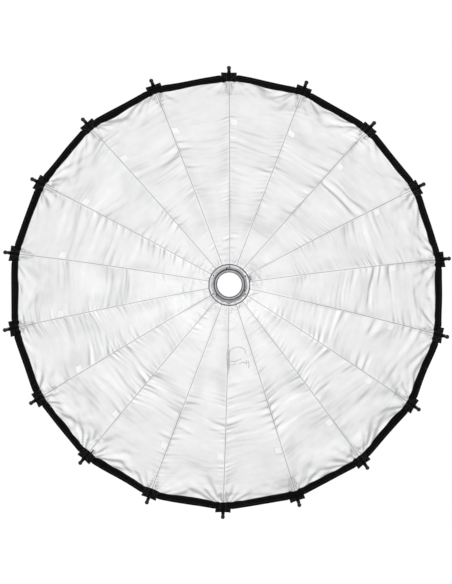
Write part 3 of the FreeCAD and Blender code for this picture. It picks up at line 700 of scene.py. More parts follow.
class ReflectorSizes(bpy.types.PropertyGroup):
    corner_radius: metres("Corner Radius", "Dish axis to a corner of the rim", 0.750, min=0.2)
    throat_radius: metres(
        "Throat Radius", "Dish axis to the lining's edge at the ring", 0.080, min=0.02)
    rim_depth: metres(
        "Rim Depth", "Bayonet seat to the rim's corners, along the axis", 0.714335, min=0.1)
    root_slope: degrees("Root Slope", "Slope of the cloth where it leaves the ring", 30)
    rim_slope: degrees("Rim Slope", "Slope of the cloth at the rim", 60)
    gore_start: metres("Gore Start", "Dish axis to the gores' lower edges", 0.100, min=0.05)
    cloth_thickness: metres(
        "Cloth Thickness", "Lining and shell together", 0.0009, min=0.0002, precision=4)
    band_width: metres("Band Width", "Black band on the inside of the rim", 0.032, min=0.005)
    band_back: metres(
        "Band Back", "The band's turned-over part outside the rim", 0.022, min=0.005)
    pocket_width: metres("Pocket Width", "Corner pocket along the rim", 0.053, min=0.02)
    pocket_reach: metres("Pocket Reach", "Corner pocket's front leaf beyond the rim", 0.007)
    pocket_lap: metres("Pocket Lap", "Corner pocket past the band's inner edge", 0.008)
    pocket_hem: metres(
        "Pocket Hem", "Rolled hem at each end of a corner pocket", 0.009, min=0.001)
    rod_behind: metres(
        "Rod Behind", "Lining to the middle of the rod behind it", 0.007, min=0.002)
    rod_radius: metres("Rod Radius", "Sprung rod", 0.0035, min=0.001)
    patch_size: metres(
        "Patch Size", "Width of the reinforcing patch beside each seam", 0.024, min=0.005)
    patch_line: metres("Patch Line", "Dish axis to the row of patches", 0.608, min=0.1)
    gore_rows: IntProperty(
        name="Gore Rows", description="Faces along each gore", default=240, min=20)
    gore_columns: IntProperty(
        name="Gore Columns", description="Faces across each gore", default=46, min=8)


class ReflectorWrinkles(bpy.types.PropertyGroup):
    fold_depth: metres("Folds", "Depth of the folds that run across the gores", 0.0036)
    pucker_depth: metres("Puckers", "Depth of the gathers along the seams", 0.0034)
    rim_depth: metres("Rim Crumpling", "Depth of the crumpled lining by the rim", 0.0150)
    corner_depth: metres(
        "Corner Folds", "Depth of the folds that open out from the corners", 0.0036)
    ring_depth: metres("Ring Creases", "Depth of the creases round the ring", 0.0020)
    belly: metres("Belly", "How far the middle of a gore stands in from its ribs", 0.0045)
    wave_depth: metres("Waves", "Depth of the lining's wide soft waves", 0.0060)
    seam_groove: metres(
        "Seam Groove", "Depth of the valley along each seam", 0.0009, precision=4)


class ReflectorColours(bpy.types.PropertyGroup):
    lining: hex_colour("Lining", "Silver lining on the lit sides of its folds", "FEFEFE")
    lining_shade: hex_colour(
        "Lining Shade", "Silver lining on the dark sides of its folds", "C0C0C2")
    seam: hex_colour("Seam Thread", "Thread of the gores' seams", "8E8E90")
    black_cloth: hex_colour(
        "Shell Cloth", "Outside of the gores and the rib sleeves", "0E0E0F")
    black_webbing: hex_colour("Webbing", "Rim band and corner pockets", "0A0A0A")
    black_plastic: hex_colour("Black Plastic", "Sockets, caps, collar and knob", "101010")
    ring_face: hex_colour("Ring Face", "Front flange and retaining ring", "A6A6A8")
    ring_inside: hex_colour("Ring Inside", "Bayonet insert", "9C9C9E")
    ring_cast: hex_colour("Ring Casting", "Cast ring that carries the ribs", "9C9C9E")


class ReflectorStage(bpy.types.PropertyGroup):
    floor_drop: metres("Floor", "Dish axis down to the floor", 1.40)
    floor_fade: metres(
        "Floor Fade", "Where the floor has run out into the backdrop's white", 2.6)
    floor_radius: metres("Floor Radius", "Size of the round floor", 30.0)
    camera_distance: metres("Camera Distance", "Camera to the middle of the rim", 4.46)
    camera_azimuth: degrees("Camera Azimuth", "Camera's turn to the right of the axis", 1.08)
    camera_elevation: degrees("Camera Elevation", "Camera's height over the axis", 3.03)
    camera_roll: degrees("Camera Roll", "Camera's turn about its line of sight", 0.78)
    view_height: metres("View Height", "Height of the picture at the rim", 2.008)
    aim_height: metres(
        "Aim Height", "Where the camera looks, over the middle of the rim", 0.0075)
    world_light: FloatProperty(
        name="World Light", description="Light from all round", default=0.60, min=0)
    key_power: watts("Key Light", "Large lamp in front, above and to the left", 64.0)
    fill_power: watts("Fill Light", "Large lamp in front and to the right", 48.0)
    low_power: watts("Low Light", "Lamp in front, near the floor", 35.0)
    top_power: watts("Top Light", "Large lamp overhead, a little behind", 250.0)


# --- pieces -----------------------------------------------------------------------------

NODE_FINISHES = {
    "bayonet_insert": "machined_aluminium",
    "bayonet_claws": "zinc_plated_steel",
    "claw_screws": "blackened_steel",
    "ring_body": "cast_aluminium",
    "front_flange": "flange_aluminium",
    "flange_screws": "blackened_steel",
    "retaining_ring": "turned_aluminium",
    "retaining_screws": "blackened_steel",
    "hinge_pins": "zinc_plated_steel",
    "fold_collar": "moulded_nylon",
    "collar_drag_ring": "nitrile_rubber",
    "lock_screw": "zinc_plated_steel",
    "lock_knob": "moulded_nylon",
}


class REFLECTOR_OT_metalwork(bpy.types.Operator):
    """Give the ring, its screws, the collar and the ribs their finishes"""
    bl_idname = "reflector.metalwork"
    bl_label = "Metalwork and Ribs"

    def execute(self, context):
        for name, node in frame["nodes"].items():
            kind = "painted_rod" if name.startswith("rib_") else NODE_FINISHES.get(name)
            if kind is None:
                continue
            if not node.material_slots:
                node.data.materials.append(None)
            for slot in node.material_slots:
                slot.material = finish(kind)
        return {"FINISHED"}


def gore_lining(dish, index, alongs, shares, over=0.0):
    """Places over a gore's lining, one row for each length along it, and the heights of the
    lining's wrinkles there."""
    along, share = np.meshgrid(alongs, shares, indexing="ij")
    heights = wrinkled(dish, (index + share) * GORE_TURN, along)
    middle, off = (index + 0.5) * GORE_TURN, (share - 0.5) * GORE_TURN
    return dish.panel_point(middle, off, along, heights + over), heights


def mark_painted_shading(piece, marks):
    """Gives each point of a piece its painted shading, from painted highlight at 0 to painted
    shade at 1, for the lining's finish.
    """
    crease = piece.data.attributes.new("crease", "FLOAT", "POINT")
    crease.data.foreach_set("value", marks.astype(np.float32).ravel())


# The lining's second finish goes on its back and its cut edges.
BLACK_BACK = {"material_offset": 1, "material_offset_rim": 1}
HALF_COLUMNS = 18  # faces across half a gore, in the lining by the ring


def seam_spaced(columns):
    """Shares across a gore, closest together at its seams."""
    return (1 - np.cos(np.linspace(0, math.pi, columns + 1))) / 2


def map_to_seams(piece, dish):
    """Gives each point its distance from the nearest seam and its length along the gore."""
    x, _, z = places_of(piece)
    turn = np.arctan2(x, z) % (2 * math.pi)
    off = (turn / GORE_TURN) % 1 - 0.5
    reach = np.hypot(x, z)
    flat = reach * np.cos(off * GORE_TURN) / math.cos(HALF_GORE)
    slope = np.arcsin(np.clip((flat - dish.out) / dish.arc, 0, 1))
    along = dish.arc * (slope - dish.sizes.root_slope)
    side = flat * math.sin(HALF_GORE) - np.abs(reach * np.sin(off * GORE_TURN))
    corners = np.empty(len(piece.data.loops), int)
    piece.data.loops.foreach_get("vertex_index", corners)
    uv = piece.data.uv_layers.new(name="SeamMap")
    uv.data.foreach_set("uv", np.stack([side[corners], along[corners]], -1).ravel())


def thickened(piece, thickness, offset, **settings):
    """Gives a sheet its thickness: offset is 1 to its front, -1 to its back, 0 to both."""
    solid = piece.modifiers.new("Thickness", "SOLIDIFY")
    solid.thickness = thickness
    solid.offset = offset
    for name, value in settings.items():
        setattr(solid, name, value)
    return settled(piece)


def make_gore(dish, index):
    """One gore: its silver lining and its black shell, as a single thickness."""
    sizes = dish.sizes
    alongs = np.linspace(dish.along_at(sizes.gore_start), dish.length, sizes.gore_rows + 1)
    shares = seam_spaced(sizes.gore_columns)
    points, heights = gore_lining(dish, index, alongs, shares)
    gore = grid_piece(f"cloth_gore_{number(index)}", points, "silver_taffeta", "black_oxford")
    mark_painted_shading(gore, painted_fold_shading(dish, heights, alongs, shares))
    map_to_seams(gore, dish)
    thickened(gore, sizes.cloth_thickness, offset=-1, **BLACK_BACK)
    return hang_between_ribs(gore, index, dish)


def make_throat_lining(dish, index):
    """Lining between the ring and two half gores, one on each side of a rib."""
    sizes = dish.sizes
    edge, seam, lap = 0.0015, dish.along_at(sizes.gore_start), 0.006
    alongs = np.array([*np.linspace(edge, seam, 14), seam + 0.001, seam + lap / 2, seam + lap])
    under = np.where(alongs > seam + 1e-6, -1.4 * MILLIMETRE, 0.0)[:, None]
    across = seam_spaced(2 * HALF_COLUMNS)
    halves = (((index - 1) % RIB_COUNT, across[HALF_COLUMNS:]),
              (index, across[:HALF_COLUMNS + 1]))
    points, marks = [], []
    for gore, shares in halves:
        places, heights = gore_lining(dish, gore, alongs, shares, under)
        points.append(places)
        marks.append(painted_fold_shading(dish, heights, alongs, shares))
    points = np.concatenate([points[0], points[1][:, 1:]], 1)
    marks = np.concatenate([marks[0], marks[1][:, 1:]], 1)
    lining = grid_piece(
        f"throat_lining_{number(index)}", points, "silver_taffeta", "black_oxford")
    mark_painted_shading(lining, marks)
    map_to_seams(lining, dish)
    thickened(lining, thickness=0.6 * MILLIMETRE, offset=-1, **BLACK_BACK)
    start, end = dish.rib_point(index, 0.003), dish.rib_point(index, seam - 0.001)
    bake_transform(lining)
    return lining


def make_band(dish, index):
    """Webbing folded over a gore's rim. Its inner leaf is the wider one, with a hem that
    wavers a little."""
    sizes = dish.sizes
    rim, fold, waver = dish.length, 0.0018, 0.0030
    # Each step from the hem round the fold: how far past the rim, and millimetres of height.
    path = [(-sizes.band_width, 0.5), (-sizes.band_width + 0.0015, 0.9)]
    path += [(-sizes.band_width * share, 0.9) for share in (0.75, 0.5, 0.25, 0.06)]
    path += [(0.0012, 0.4), (fold, -0.6), (0.0012, -1.5)]
    path += [(-sizes.band_back * share, -1.9) for share in (0.06, 0.35, 0.7, 1.0)]
    shares = seam_spaced(56)
    angle = (index + shares) * GORE_TURN
    rows = []
    for step, (offset, lift) in enumerate(path):
        hem = perlin(np.cos(angle) * 9, np.sin(angle) * 9, offset * 30)
        hem = hem * (waver if step < 2 else 0.0)
        along = np.minimum(rim + offset + hem, rim + fold)
        height = lift * MILLIMETRE + wrinkled(dish, angle, np.minimum(along, rim))
        off = (shares - 0.5) * GORE_TURN
        rows.append(dish.panel_point((index + 0.5) * GORE_TURN, off, along, height))
    band = grid_piece(f"rim_band_{number(index)}", np.stack(rows), "rim_webbing")
    thickened(band, thickness=0.9 * MILLIMETRE, offset=1)
    return hang_between_ribs(band, index, dish)


def pocket_rise(dish, aside):
    """How far the two panels beside a rib stand in from the plane square to the rib."""
    tilt = math.tan(HALF_GORE) * math.sin(dish.sizes.rim_slope)
    return tilt * np.sqrt(np.square(aside) + 0.004 ** 2)


def pocket_sides(dish, aside):
    """Heights of a corner pocket's front and back. It is thicker at the rolled hems, which
    start with a short step, and its back stays in front of the rod."""
    half, step, past_rod = dish.sizes.pocket_width / 2, 0.0006, 0.0085
    hemmed = 1 / (1 + np.exp(-(np.abs(aside) - half + dish.sizes.pocket_hem) / step))
    by_rod = np.exp(-(aside / past_rod) ** 4)
    front = pocket_rise(dish, aside) + (2.4 + 0.8 * hemmed) * MILLIMETRE
    back = pocket_rise(dish, aside) + (2.2 * by_rod - 3.2 - 0.8 * hemmed) * MILLIMETRE
    return front, back


def pocket_point(dish, index, reach, aside, lift):
    """Places by a rim corner, reach beyond the rim as seen along the dish's axis."""
    along = dish.length + reach + lift * math.tan(dish.sizes.rim_slope)
    return dish.rib_point(index, along, aside, lift)


def hang_beside_rib(piece, index, side, dish):
    """Bakes one half of a corner pocket and works out its shares of the turn of its gore: side
    is 1 on the rib's clockwise side, -1 on the other. Webbing is stiffer than the cloth between
    the ribs, so its shares are drawn towards the rib with a give of 0.6."""
    gore = index if side > 0 else (index - 1) % RIB_COUNT
    hang_between_ribs(piece, gore, dish, give=0.6)


def make_corner_pocket(dish, index, side):
    """Half of the webbing folded over a rim corner, cut straight, with a rolled hem."""
    sizes = dish.sizes
    turns = np.linspace(min(side, 0), max(side, 0), 21) * math.pi / 2
    asides = sizes.pocket_width / 2 * np.sin(turns)
    front, back = pocket_sides(dish, asides)
    tip, foot = sizes.pocket_reach, -sizes.band_width - sizes.pocket_lap
    tucked, bulge = 0.0012, 0.0022
    rows = []
    for share in (0, 0.04, 0.25, 0.5, 0.75, 0.93, 1):
        lift = front - (tucked if share == 0 else 0)
        rows.append(pocket_point(dish, index, foot + (tip - foot) * share, asides, lift))
    for turn in (0.25, 0.5, 0.75):
        reach, lift = tip + bulge * math.sin(turn * math.pi), front + (back - front) * turn
        rows.append(pocket_point(dish, index, reach, asides, lift))
    for share in (1, 0.93, 0.7, 0.45, 0.2, 0.1):
        rows.append(pocket_point(dish, index, foot + (tip - foot) * share, asides, back))
    pocket = grid_piece(
        f"corner_pocket_{SIDES[side]}_{number(index)}", np.stack(rows), "rim_webbing")
    thickened(pocket, thickness=1.3 * MILLIMETRE, offset=0)
    hang_beside_rib(pocket, index, side, dish)


def make_sleeve(dish, index):
    """Cloth tape sewn down along both sides of the rod, on the outside of the shell."""
    sizes = dish.sizes
    past_socket, short_of_rim = 0.138, 0.018
    alongs = np.linspace(dish.along_at(past_socket), dish.length - short_of_rim, 110)
    clear = sizes.rod_radius + 0.9 * MILLIMETRE
    over = np.radians(np.linspace(-72, 72, 9))
    wing, wing_depths = np.array([0.0060, 0.0088, 0.0112, 0.0135]), np.array([0.0044, 0, 0, 0])
    asides = np.concatenate([-wing[::-1], clear * np.sin(over), wing])
    depths = np.concatenate(
        [wing_depths[::-1], sizes.rod_behind + clear * np.cos(over), wing_depths])
    along, aside = np.meshgrid(alongs, asides, indexing="ij")
    slub = 0.0006 * perlin(index * 2.7, np.arange(len(asides)) * 0.35, along / 0.022)
    turned = index * GORE_TURN + aside / dish.seam_radius(along)
    on_gore = dish.point(turned, along, wrinkled(dish, turned, along) - 1.5 * MILLIMETRE)
    by_rod = dish.rib_point(index, along, aside, slub - depths)
    points = np.where((depths > 0)[:, None], by_rod, on_gore)
    sleeve = grid_piece(f"rib_sleeve_{number(index)}", points, "black_oxford")
    sleeve.data.flip_normals()
    thickened(sleeve, thickness=0.5 * MILLIMETRE, offset=1)
    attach(sleeve, f"rib_{number(index)}")
    return sleeve


def make_seam_patch(dish, index):
    """A piece of tape sewn over a seam's tie, on the clockwise side of the rib. It is longer
    than wide, and the patches aren't quite in line."""
    sizes = dish.sizes
    beside_seam, uneven = 0.0035, 0.010
    along = dish.along_at(sizes.patch_line) + uneven * float(perlin(index * 1.9, 0.5, 0.5))
    asides = beside_seam + np.linspace(0, sizes.patch_size, 9)
    shares = asides / (2 * dish.half_width(along))
    alongs = along + np.linspace(-0.65, 0.65, 9) * sizes.patch_size
    points, _ = gore_lining(dish, index, alongs, shares, over=1.5 * MILLIMETRE)
    patch = grid_piece(f"seam_patch_{number(index)}", points, "white_tape")
    thickened(patch, thickness=0.8 * MILLIMETRE, offset=0)
    return hang_between_ribs(patch, index, dish)


class REFLECTOR_OT_gores(bpy.types.Operator):
    """Sew the cloth gores, with their rim bands, sleeves and patches"""
    bl_idname = "reflector.gores"
    bl_label = "Gores"

    def execute(self, context):
        dish = Dish(context.scene.reflector_sizes)
        start = float(dish.along_at(dish.sizes.gore_start))
        alongs = np.linspace(start, dish.length, 200)
        widths = 2 * dish.half_width(alongs)
        for index in range(RIB_COUNT):
            gore, lining = make_gore(dish, index), make_throat_lining(dish, index)
            band, sleeve = make_band(dish, index), make_sleeve(dish, index)
            patch = make_seam_patch(dish, index)
            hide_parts(f"gore_{number(index)}")
            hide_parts("throat_hem")
        return {"FINISHED"}


class REFLECTOR_OT_corner_pockets(bpy.types.Operator):
    """Fold a webbing pocket over each corner of the rim"""
    bl_idname = "reflector.corner_pockets"
    bl_label = "Corner Pockets"

    def execute(self, context):
        dish = Dish(context.scene.reflector_sizes)
        for index in range(RIB_COUNT):
            for side in SIDES:
                make_corner_pocket(dish, index, side)
        return {"FINISHED"}


# --- stitching --------------------------------------------------------------------------

# From one stitch to the next, and the thread that shows of each.
STITCH_SIZES = {"Pitch": 0.004, "Stitch Length": 0.0031, "Thread Radius": 0.00045}


def stitch_tree():
    """Geometry Nodes: stitches laid end to end along the lines of a wire mesh."""
    tree = bpy.data.node_groups.new("Stitch Rows", "GeometryNodeTree")
    sockets = tree.interface
    sockets.new_socket("Geometry", in_out="INPUT", socket_type="NodeSocketGeometry")
    for label, default in STITCH_SIZES.items():
        socket = sockets.new_socket(label, in_out="INPUT", socket_type="NodeSocketFloat")
        socket.default_value = default
        socket.subtype = "DISTANCE"
    sockets.new_socket("Thread", in_out="INPUT", socket_type="NodeSocketMaterial")
    sockets.new_socket("Geometry", in_out="OUTPUT", socket_type="NodeSocketGeometry")
    lines = add(tree, "NodeGroupInput").outputs
    curve = add(tree, "GeometryNodeMeshToCurve", {"Mesh": lines["Geometry"]})
    spots = add(tree, "GeometryNodeCurveToPoints",
                {"Curve": curve.outputs[0], "Length": lines["Pitch"]}, mode="LENGTH")
    thread = add(tree, "GeometryNodeMeshCylinder", {
        "Vertices": 5, "Radius": lines["Thread Radius"], "Depth": lines["Stitch Length"]})
    laid = add(tree, "GeometryNodeInstanceOnPoints",
               {"Points": spots.outputs["Points"], "Instance": thread.outputs["Mesh"],
                "Rotation": spots.outputs["Rotation"]})
    real = add(tree, "GeometryNodeRealizeInstances", {"Geometry": laid.outputs[0]})
    done = add(tree, "GeometryNodeSetMaterial",
               {"Geometry": real.outputs[0], "Material": lines["Thread"]})
    add(tree, "NodeGroupOutput", {"Geometry": done.outputs[0]})
    return tree


def sew(name, rows, tree, **sizes):
    """Stitches along rows of points, as one mesh."""
    points, edges = [], []
    for row in rows:
        edges += [(len(points) + k, len(points) + k + 1) for k in range(len(row) - 1)]
        points += list(row)
    piece = mesh_object(name, points, [], edges=edges)
    nodes = piece.modifiers.new("Stitches", "NODES")
    nodes.node_group = tree
    values = {"Thread": finish("bonded_thread"), **sizes}
    for socket in tree.interface.items_tree:
        if socket.in_out == "INPUT" and socket.name in values:
            nodes[socket.identifier] = values[socket.name]
    piece.update_tag()
    return settled(piece)


def band_rows(dish, index):
    """Two rows of stitches on the band's inner leaf, between the corner pockets."""
    shares = np.linspace(0.11, 0.89, 90)
    by_rim, by_hem = 0.0035, 0.005
    rows = []
    for offset in (by_rim, dish.sizes.band_width - by_hem):
        alongs = np.array([dish.length - offset])
        points, _ = gore_lining(dish, index, alongs, shares, over=1.95 * MILLIMETRE)
        rows.append(points[0])
    return rows


def traced(line, steps):
    """The two coordinates of points along a bent line, with steps to each of its stretches."""
    corners, last = np.array(line), len(line) - 1
    places = np.linspace(0, last, steps * last + 1)
    return [np.interp(places, range(last + 1), corners[:, axis]) for axis in (0, 1)]


def pocket_rows(dish, index, side):
    """A box with a cross on one half of a corner pocket's front."""
    sizes = dish.sizes
    by_foot, by_tip, by_rod, by_hem = 0.005, 0.004, 0.0075, 0.0035
    low = -sizes.band_width - sizes.pocket_lap + by_foot
    high = sizes.pocket_reach - by_tip
    near, far = side * by_rod, side * (sizes.pocket_width / 2 - by_hem)
    box = [(near, low), (far, low), (far, high), (near, high), (near, low)]
    rows = []
    for path in (box, [(near, low), (far, high)], [(near, high), (far, low)]):
        aside, reach = traced(path, 8)
        lift = pocket_sides(dish, aside)[0] + 0.8 * MILLIMETRE
        rows.append(pocket_point(dish, index, reach, aside, lift))
    return rows


# Stitch lines of the pocket sewn behind the lining, clockwise of the bottom rib's seam; the
# third and fourth lines are painted shade of soft folds, drawn as grey thread: millimetres to
# the right of that seam and below the dish's axis.
LINING_POCKET_AND_PAINTED_SHADE_LINES = [
    [(4, 266), (6, 254), (13, 246), (24, 240), (36, 237), (48, 238), (58, 241), (67, 247),
     (70, 260)],
    [(4, 264), (5, 280), (4, 300), (2, 318)],
    [(13, 288), (26, 289), (38, 287), (50, 280)],
    [(16, 301), (24, 301), (32, 296)],
    [(46, 298), (56, 292), (66, 293), (73, 297), (74, 287)],
    [(80, 289), (83, 298), (82, 310)],
]


def lining_pocket_and_painted_shade_rows(dish, index):
    """The stitch lines of the lining's pocket, and the lines of painted fold shade among them,
    on the gore that it is sewn behind.
    """
    rows = []
    for line in LINING_POCKET_AND_PAINTED_SHADE_LINES:
        aside, below = traced(np.array(line) * MILLIMETRE, 6)
        angle = math.pi - np.arctan2(aside, below)
        middle = (index + 0.5) * GORE_TURN
        reach = np.hypot(aside, below) * np.cos(angle - middle) / math.cos(HALF_GORE)
        along = dish.along_at(reach)
        lift = wrinkled(dish, angle, along) + 0.4 * MILLIMETRE
        rows.append(dish.panel_point(middle, angle - middle, along, lift))
    return rows


def make_slit_tape(dish, index):
    """Facing of the slit left open in a rib's seam, through which its rod is reached."""
    inner, outer, widest, narrowest = 0.222, 0.338, 0.0060, 0.0004
    off_seam, waver = 0.0025, 0.0012
    alongs = np.linspace(dish.along_at(inner), dish.along_at(outer), 30)
    widths = widest * np.sin(np.linspace(0, math.pi, 30)) ** 0.6 + narrowest
    sides = np.array([-1, -0.92, -0.4, 0.4, 0.92, 1])
    along, side = np.meshgrid(alongs, sides, indexing="ij")
    aside = side * widths[:, None] - off_seam + waver * np.sin(along / 0.016)
    lift = np.where(np.abs(side) == 1, 0.1, 0.7) * MILLIMETRE
    tape = grid_piece("slit_facing", dish.rib_point(index, along, aside, lift), "grey_tape")
    thickened(tape, thickness=0.5 * MILLIMETRE, offset=0)
    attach(tape, f"rib_{number(index)}")
    return tape


class REFLECTOR_OT_stitching(bpy.types.Operator):
    """Sew the rows of stitches on the rim bands and corner pockets, and the pocket and slit by
    the bottom rib; the pocket's grey thread also draws lines of painted fold shade"""
    bl_idname = "reflector.stitching"
    bl_label = "Stitching"

    def execute(self, context):
        dish = Dish(context.scene.reflector_sizes)
        tree = stitch_tree()
        for index in range(RIB_COUNT):
            band = sew(f"band_stitches_{number(index)}", band_rows(dish, index), tree)
            hang_between_ribs(band, index, dish)
            for side, word in SIDES.items():
                pocket = sew(f"pocket_stitches_{word}_{number(index)}",
                             pocket_rows(dish, index, side), tree)
                hang_beside_rib(pocket, index, side, dish)
        bottom = RIB_COUNT // 2
        # The lining pocket's grey thread draws its stitch lines and, in two of them, painted
        # shade of soft folds.
        pocket = sew("lining_pocket_stitches", lining_pocket_and_painted_shade_rows(dish, bottom - 1), tree,
                     **{"Thread": finish("grey_thread"), "Thread Radius": 0.0008})
        hang_between_ribs(pocket, bottom - 1, dish)
        for piece in (pocket, make_slit_tape(dish, bottom)):
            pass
        return {"FINISHED"}


# --- the ring's cloth trimmings ---------------------------------------------------------


def swept_loop(name, radius, depth, tube, lumps, kind):
    """A cord laid round the dish's axis. lumps is how uneven its tube's radius is."""
    turns, sides = 216, 10
    points = []
    for turn in np.linspace(0, 2 * math.pi, turns, endpoint=False):
        swell = 1 + lumps * noise.noise((math.cos(turn) * 9, math.sin(turn) * 9, 0.5))
        for side in np.linspace(0, 2 * math.pi, sides, endpoint=False):
            reach = radius + tube * swell * math.cos(side)
            points.append((reach * math.sin(turn), -depth - tube * swell * math.sin(side),
                           reach * math.cos(turn)))
    loop = mesh_object(name, points, grid_faces(turns, sides, closed=True, joined=True), kind)
    outward(loop)
    return loop


def make_ring_tab(dish):
    """A folded pull tab beside the ring, bent round its edge, with softly squared sides and
    rounded ends."""
    length, width, thick = 0.021, 0.0075, 0.0022
    middle, reach = math.radians(70), 0.0870
    points, rings, sides = [], 24, 16
    for place in np.linspace(-1, 1, rings):
        taper = max(0.05, (1 - abs(place) ** 5)) ** 0.5
        for side in np.linspace(0, 2 * math.pi, sides, endpoint=False):
            cosine, sine = math.cos(side), math.sin(side)
            across = width / 2 * taper * math.copysign(abs(cosine) ** 0.6, cosine)
            lift = thick * taper * math.copysign(abs(sine) ** 0.7, sine)
            angle = middle + place * length / 2 / reach
            radius = reach + across
            slope = math.asin((radius - dish.out) / dish.arc)
            depth = dish.ahead - dish.arc * math.cos(slope) + thick + lift
            points.append((radius * math.sin(angle), -depth, radius * math.cos(angle)))
    faces = grid_faces(rings, sides, closed=True)
    for ring in (0, rings - 1):
        faces.append([ring * sides + side for side in range(sides)])
    tab = mesh_object("ring_pull_tab", points, faces, "grey_webbing")
    outward(tab)
    return tab


class REFLECTOR_OT_ring_trim(bpy.types.Operator):
    """Lay the cord round the lining's edge at the ring, and its pull tab"""
    bl_idname = "reflector.ring_trim"
    bl_label = "Ring Trim"

    def execute(self, context):
        dish = Dish(context.scene.reflector_sizes)
        throat = dish.sizes.throat_radius
        depth = dish.ahead - dish.arc * math.cos(dish.sizes.root_slope)
        cord = swept_loop(
            "throat_cord", radius=throat + 0.0014, depth=depth + 0.0016, tube=0.0013,
            lumps=0.12, kind="black_oxford")
        tab = make_ring_tab(dish)
        for piece in (cord, tab):
            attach(piece, "ring")
        return {"FINISHED"}


# --- stage ------------------------------------------------------------------------------

WHITE = (1, 1, 1, 1)

# Each lamp's place, and how wide it is. A setting of its name gives its power.
LAMPS = {
    "key": ((-3.4, -5.2, 2.7), 3.2),
    "fill": ((4.4, -4.6, 0.7), 3.2),
    "low": ((0.4, -5.4, -0.5), 1.6),
    "top": ((0.5, 2.6, 4.4), 3.5),
}
LAMP_TARGET = Vector((0, -0.4, 0))


def white_to_the_eye(tree, shown, plain):
    """Mixes two closures: the camera and reflections meet shown, and plain lights the rest."""
    path = add(tree, "ShaderNodeLightPath")
    seen = path.outputs["Is Camera Ray"]
    for ray in ("Is Glossy Ray", "Is Transmission Ray"):
        seen = add(tree, "ShaderNodeMath", {0: seen, 1: path.outputs[ray]}, operation="MAXIMUM")
    return add(tree, "ShaderNodeMixShader", {0: seen, 1: plain, 2: shown})


def make_world(stage):
    world = bpy.data.worlds.new("Pale Studio")
    world.use_nodes = True
    tree = world.node_tree
    tree.nodes.clear()
    plain, shown = (add(tree, "ShaderNodeBackground", {"Strength": strength, "Color": WHITE})
                    for strength in (stage.world_light, 1.0))
    add(tree, "ShaderNodeOutputWorld", {"Surface": white_to_the_eye(tree, shown, plain)})
    return world


def make_floor(stage):
    """A round white floor, well below the dish, that runs out into the white backdrop."""
    turns = np.linspace(0, 2 * math.pi, 96, endpoint=False)
    reach, drop = stage.floor_radius, stage.floor_drop
    points = [(reach * math.cos(turn), reach * math.sin(turn), -drop) for turn in turns]
    material, tree, place = new_material()
    material.name = "white_floor_paint"
    mottle = add(tree, "ShaderNodeTexNoise", {"Vector": place, "Scale": 2.5, "Detail": 3.0})
    tone = add(tree, "ShaderNodeMix", {
        "Factor": mottle, "A": opaque(linear("F4F4F4")), "B": opaque(linear("FBFBFB")),
    }, data_type="RGBA")
    paint = add(tree, "ShaderNodeBsdfPrincipled", {"Base Color": tone, "Roughness": 0.9})
    fade = add(tree, "ShaderNodeMapRange", {
        "Value": radius_of(tree, place, (1, 1, 0)),
        "From Min": stage.floor_fade / 3, "From Max": stage.floor_fade})
    glow = add(tree, "ShaderNodeEmission", {"Color": WHITE, "Strength": 1.0})
    shown = add(tree, "ShaderNodeMixShader", {0: fade, 1: paint, 2: glow})
    add(tree, "ShaderNodeOutputMaterial", {"Surface": white_to_the_eye(tree, shown, paint)})
    floor = mesh_object("floor", points, [list(range(len(points)))], "white_floor_paint")
    return floor


def make_lamp(name, place, size, power):
    lamp = bpy.data.lights.new(name, "AREA")
    lamp.shape = "DISK"
    lamp.size = size
    lamp.energy = power
    holder = bpy.data.objects.new(name, lamp)
    holder.location = place
    aim = LAMP_TARGET - holder.location
    holder.rotation_euler = aim.to_track_quat("-Z", "Y").to_euler()
    bpy.context.scene.collection.objects.link(holder)
    return holder


class REFLECTOR_OT_camera(bpy.types.Operator):
    """Set the camera level with the dish's mouth"""
    bl_idname = "reflector.camera"
    bl_label = "Camera"

    def execute(self, context):
        stage, sizes = context.scene.reflector_stage, context.scene.reflector_sizes
        camera = bpy.data.cameras.new("Camera")
        camera.sensor_width = 36
        camera.lens = camera.sensor_width * stage.camera_distance / stage.view_height
        camera.clip_end = 200
        holder = bpy.data.objects.new("Camera", camera)
        target = Vector((0, -sizes.rim_depth, stage.aim_height))
        turn, rise = stage.camera_azimuth, stage.camera_elevation
        away = Vector((math.sin(turn) * math.cos(rise), -math.cos(turn) * math.cos(rise),
                       math.sin(rise)))
        holder.location = target + away * stage.camera_distance
        look = (-away).to_track_quat("-Z", "Y") @ Quaternion((0, 0, 1), stage.camera_roll)
        holder.rotation_euler = look.to_euler()
        context.scene.collection.objects.link(holder)
        context.scene.camera = holder
        return {"FINISHED"}


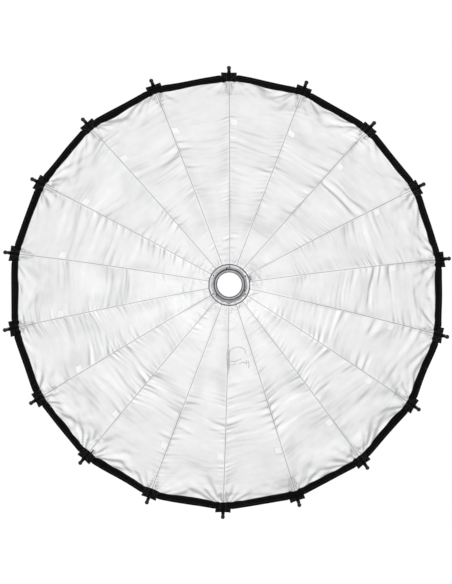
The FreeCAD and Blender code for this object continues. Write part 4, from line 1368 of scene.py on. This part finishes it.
class REFLECTOR_OT_stage(bpy.types.Operator):
    """Set up the floor, the lamps and the world"""
    bl_idname = "reflector.stage"
    bl_label = "Stage"

    def execute(self, context):
        stage = context.scene.reflector_stage
        context.scene.world = make_world(stage)
        make_floor(stage)
        for lamp, (place, width) in LAMPS.items():
            make_lamp(f"{lamp}_light", place, width, getattr(stage, f"{lamp}_power"))
        context.scene.view_settings.view_transform = "Standard"
        return {"FINISHED"}


# --- add-on -----------------------------------------------------------------------------

OPERATORS = [
    REFLECTOR_OT_camera, REFLECTOR_OT_metalwork, REFLECTOR_OT_gores,
    REFLECTOR_OT_corner_pockets, REFLECTOR_OT_stitching, REFLECTOR_OT_ring_trim,
    REFLECTOR_OT_stage,
]
GROUPS = {
    "reflector_sizes": ReflectorSizes,
    "reflector_wrinkles": ReflectorWrinkles,
    "reflector_colours": ReflectorColours,
    "reflector_stage": ReflectorStage,
}


class REFLECTOR_PT_panel(bpy.types.Panel):
    """Sizes, colours and pieces of the reflector"""
    bl_idname = "REFLECTOR_PT_panel"
    bl_label = "Umbrella Reflector"
    bl_space_type = "VIEW_3D"
    bl_region_type = "UI"
    bl_category = "Reflector"

    def draw(self, context):
        column = self.layout.column()
        for attribute, group in GROUPS.items():
            for name in group.__annotations__:
                column.prop(getattr(context.scene, attribute), name)
        for operator in OPERATORS:
            column.operator(operator.bl_idname)


def register():
    for group in GROUPS.values():
        bpy.utils.register_class(group)
    for name, group in GROUPS.items():
        setattr(bpy.types.Scene, name, PointerProperty(type=group))
    for kind in [*OPERATORS, REFLECTOR_PT_panel]:
        bpy.utils.register_class(kind)


def unregister():
    for kind in [REFLECTOR_PT_panel, *reversed(OPERATORS)]:
        bpy.utils.unregister_class(kind)
    for name in GROUPS:
        delattr(bpy.types.Scene, name)
    for group in reversed(GROUPS.values()):
        bpy.utils.unregister_class(group)


def main():
    register()
    bpy.ops.reflector.camera()
    bpy.ops.reflector.metalwork()
    bpy.ops.reflector.gores()
    bpy.ops.reflector.corner_pockets()
    bpy.ops.reflector.stitching()
    bpy.ops.reflector.ring_trim()
    bpy.ops.reflector.stage()


if __name__ == "__main__":
    main()
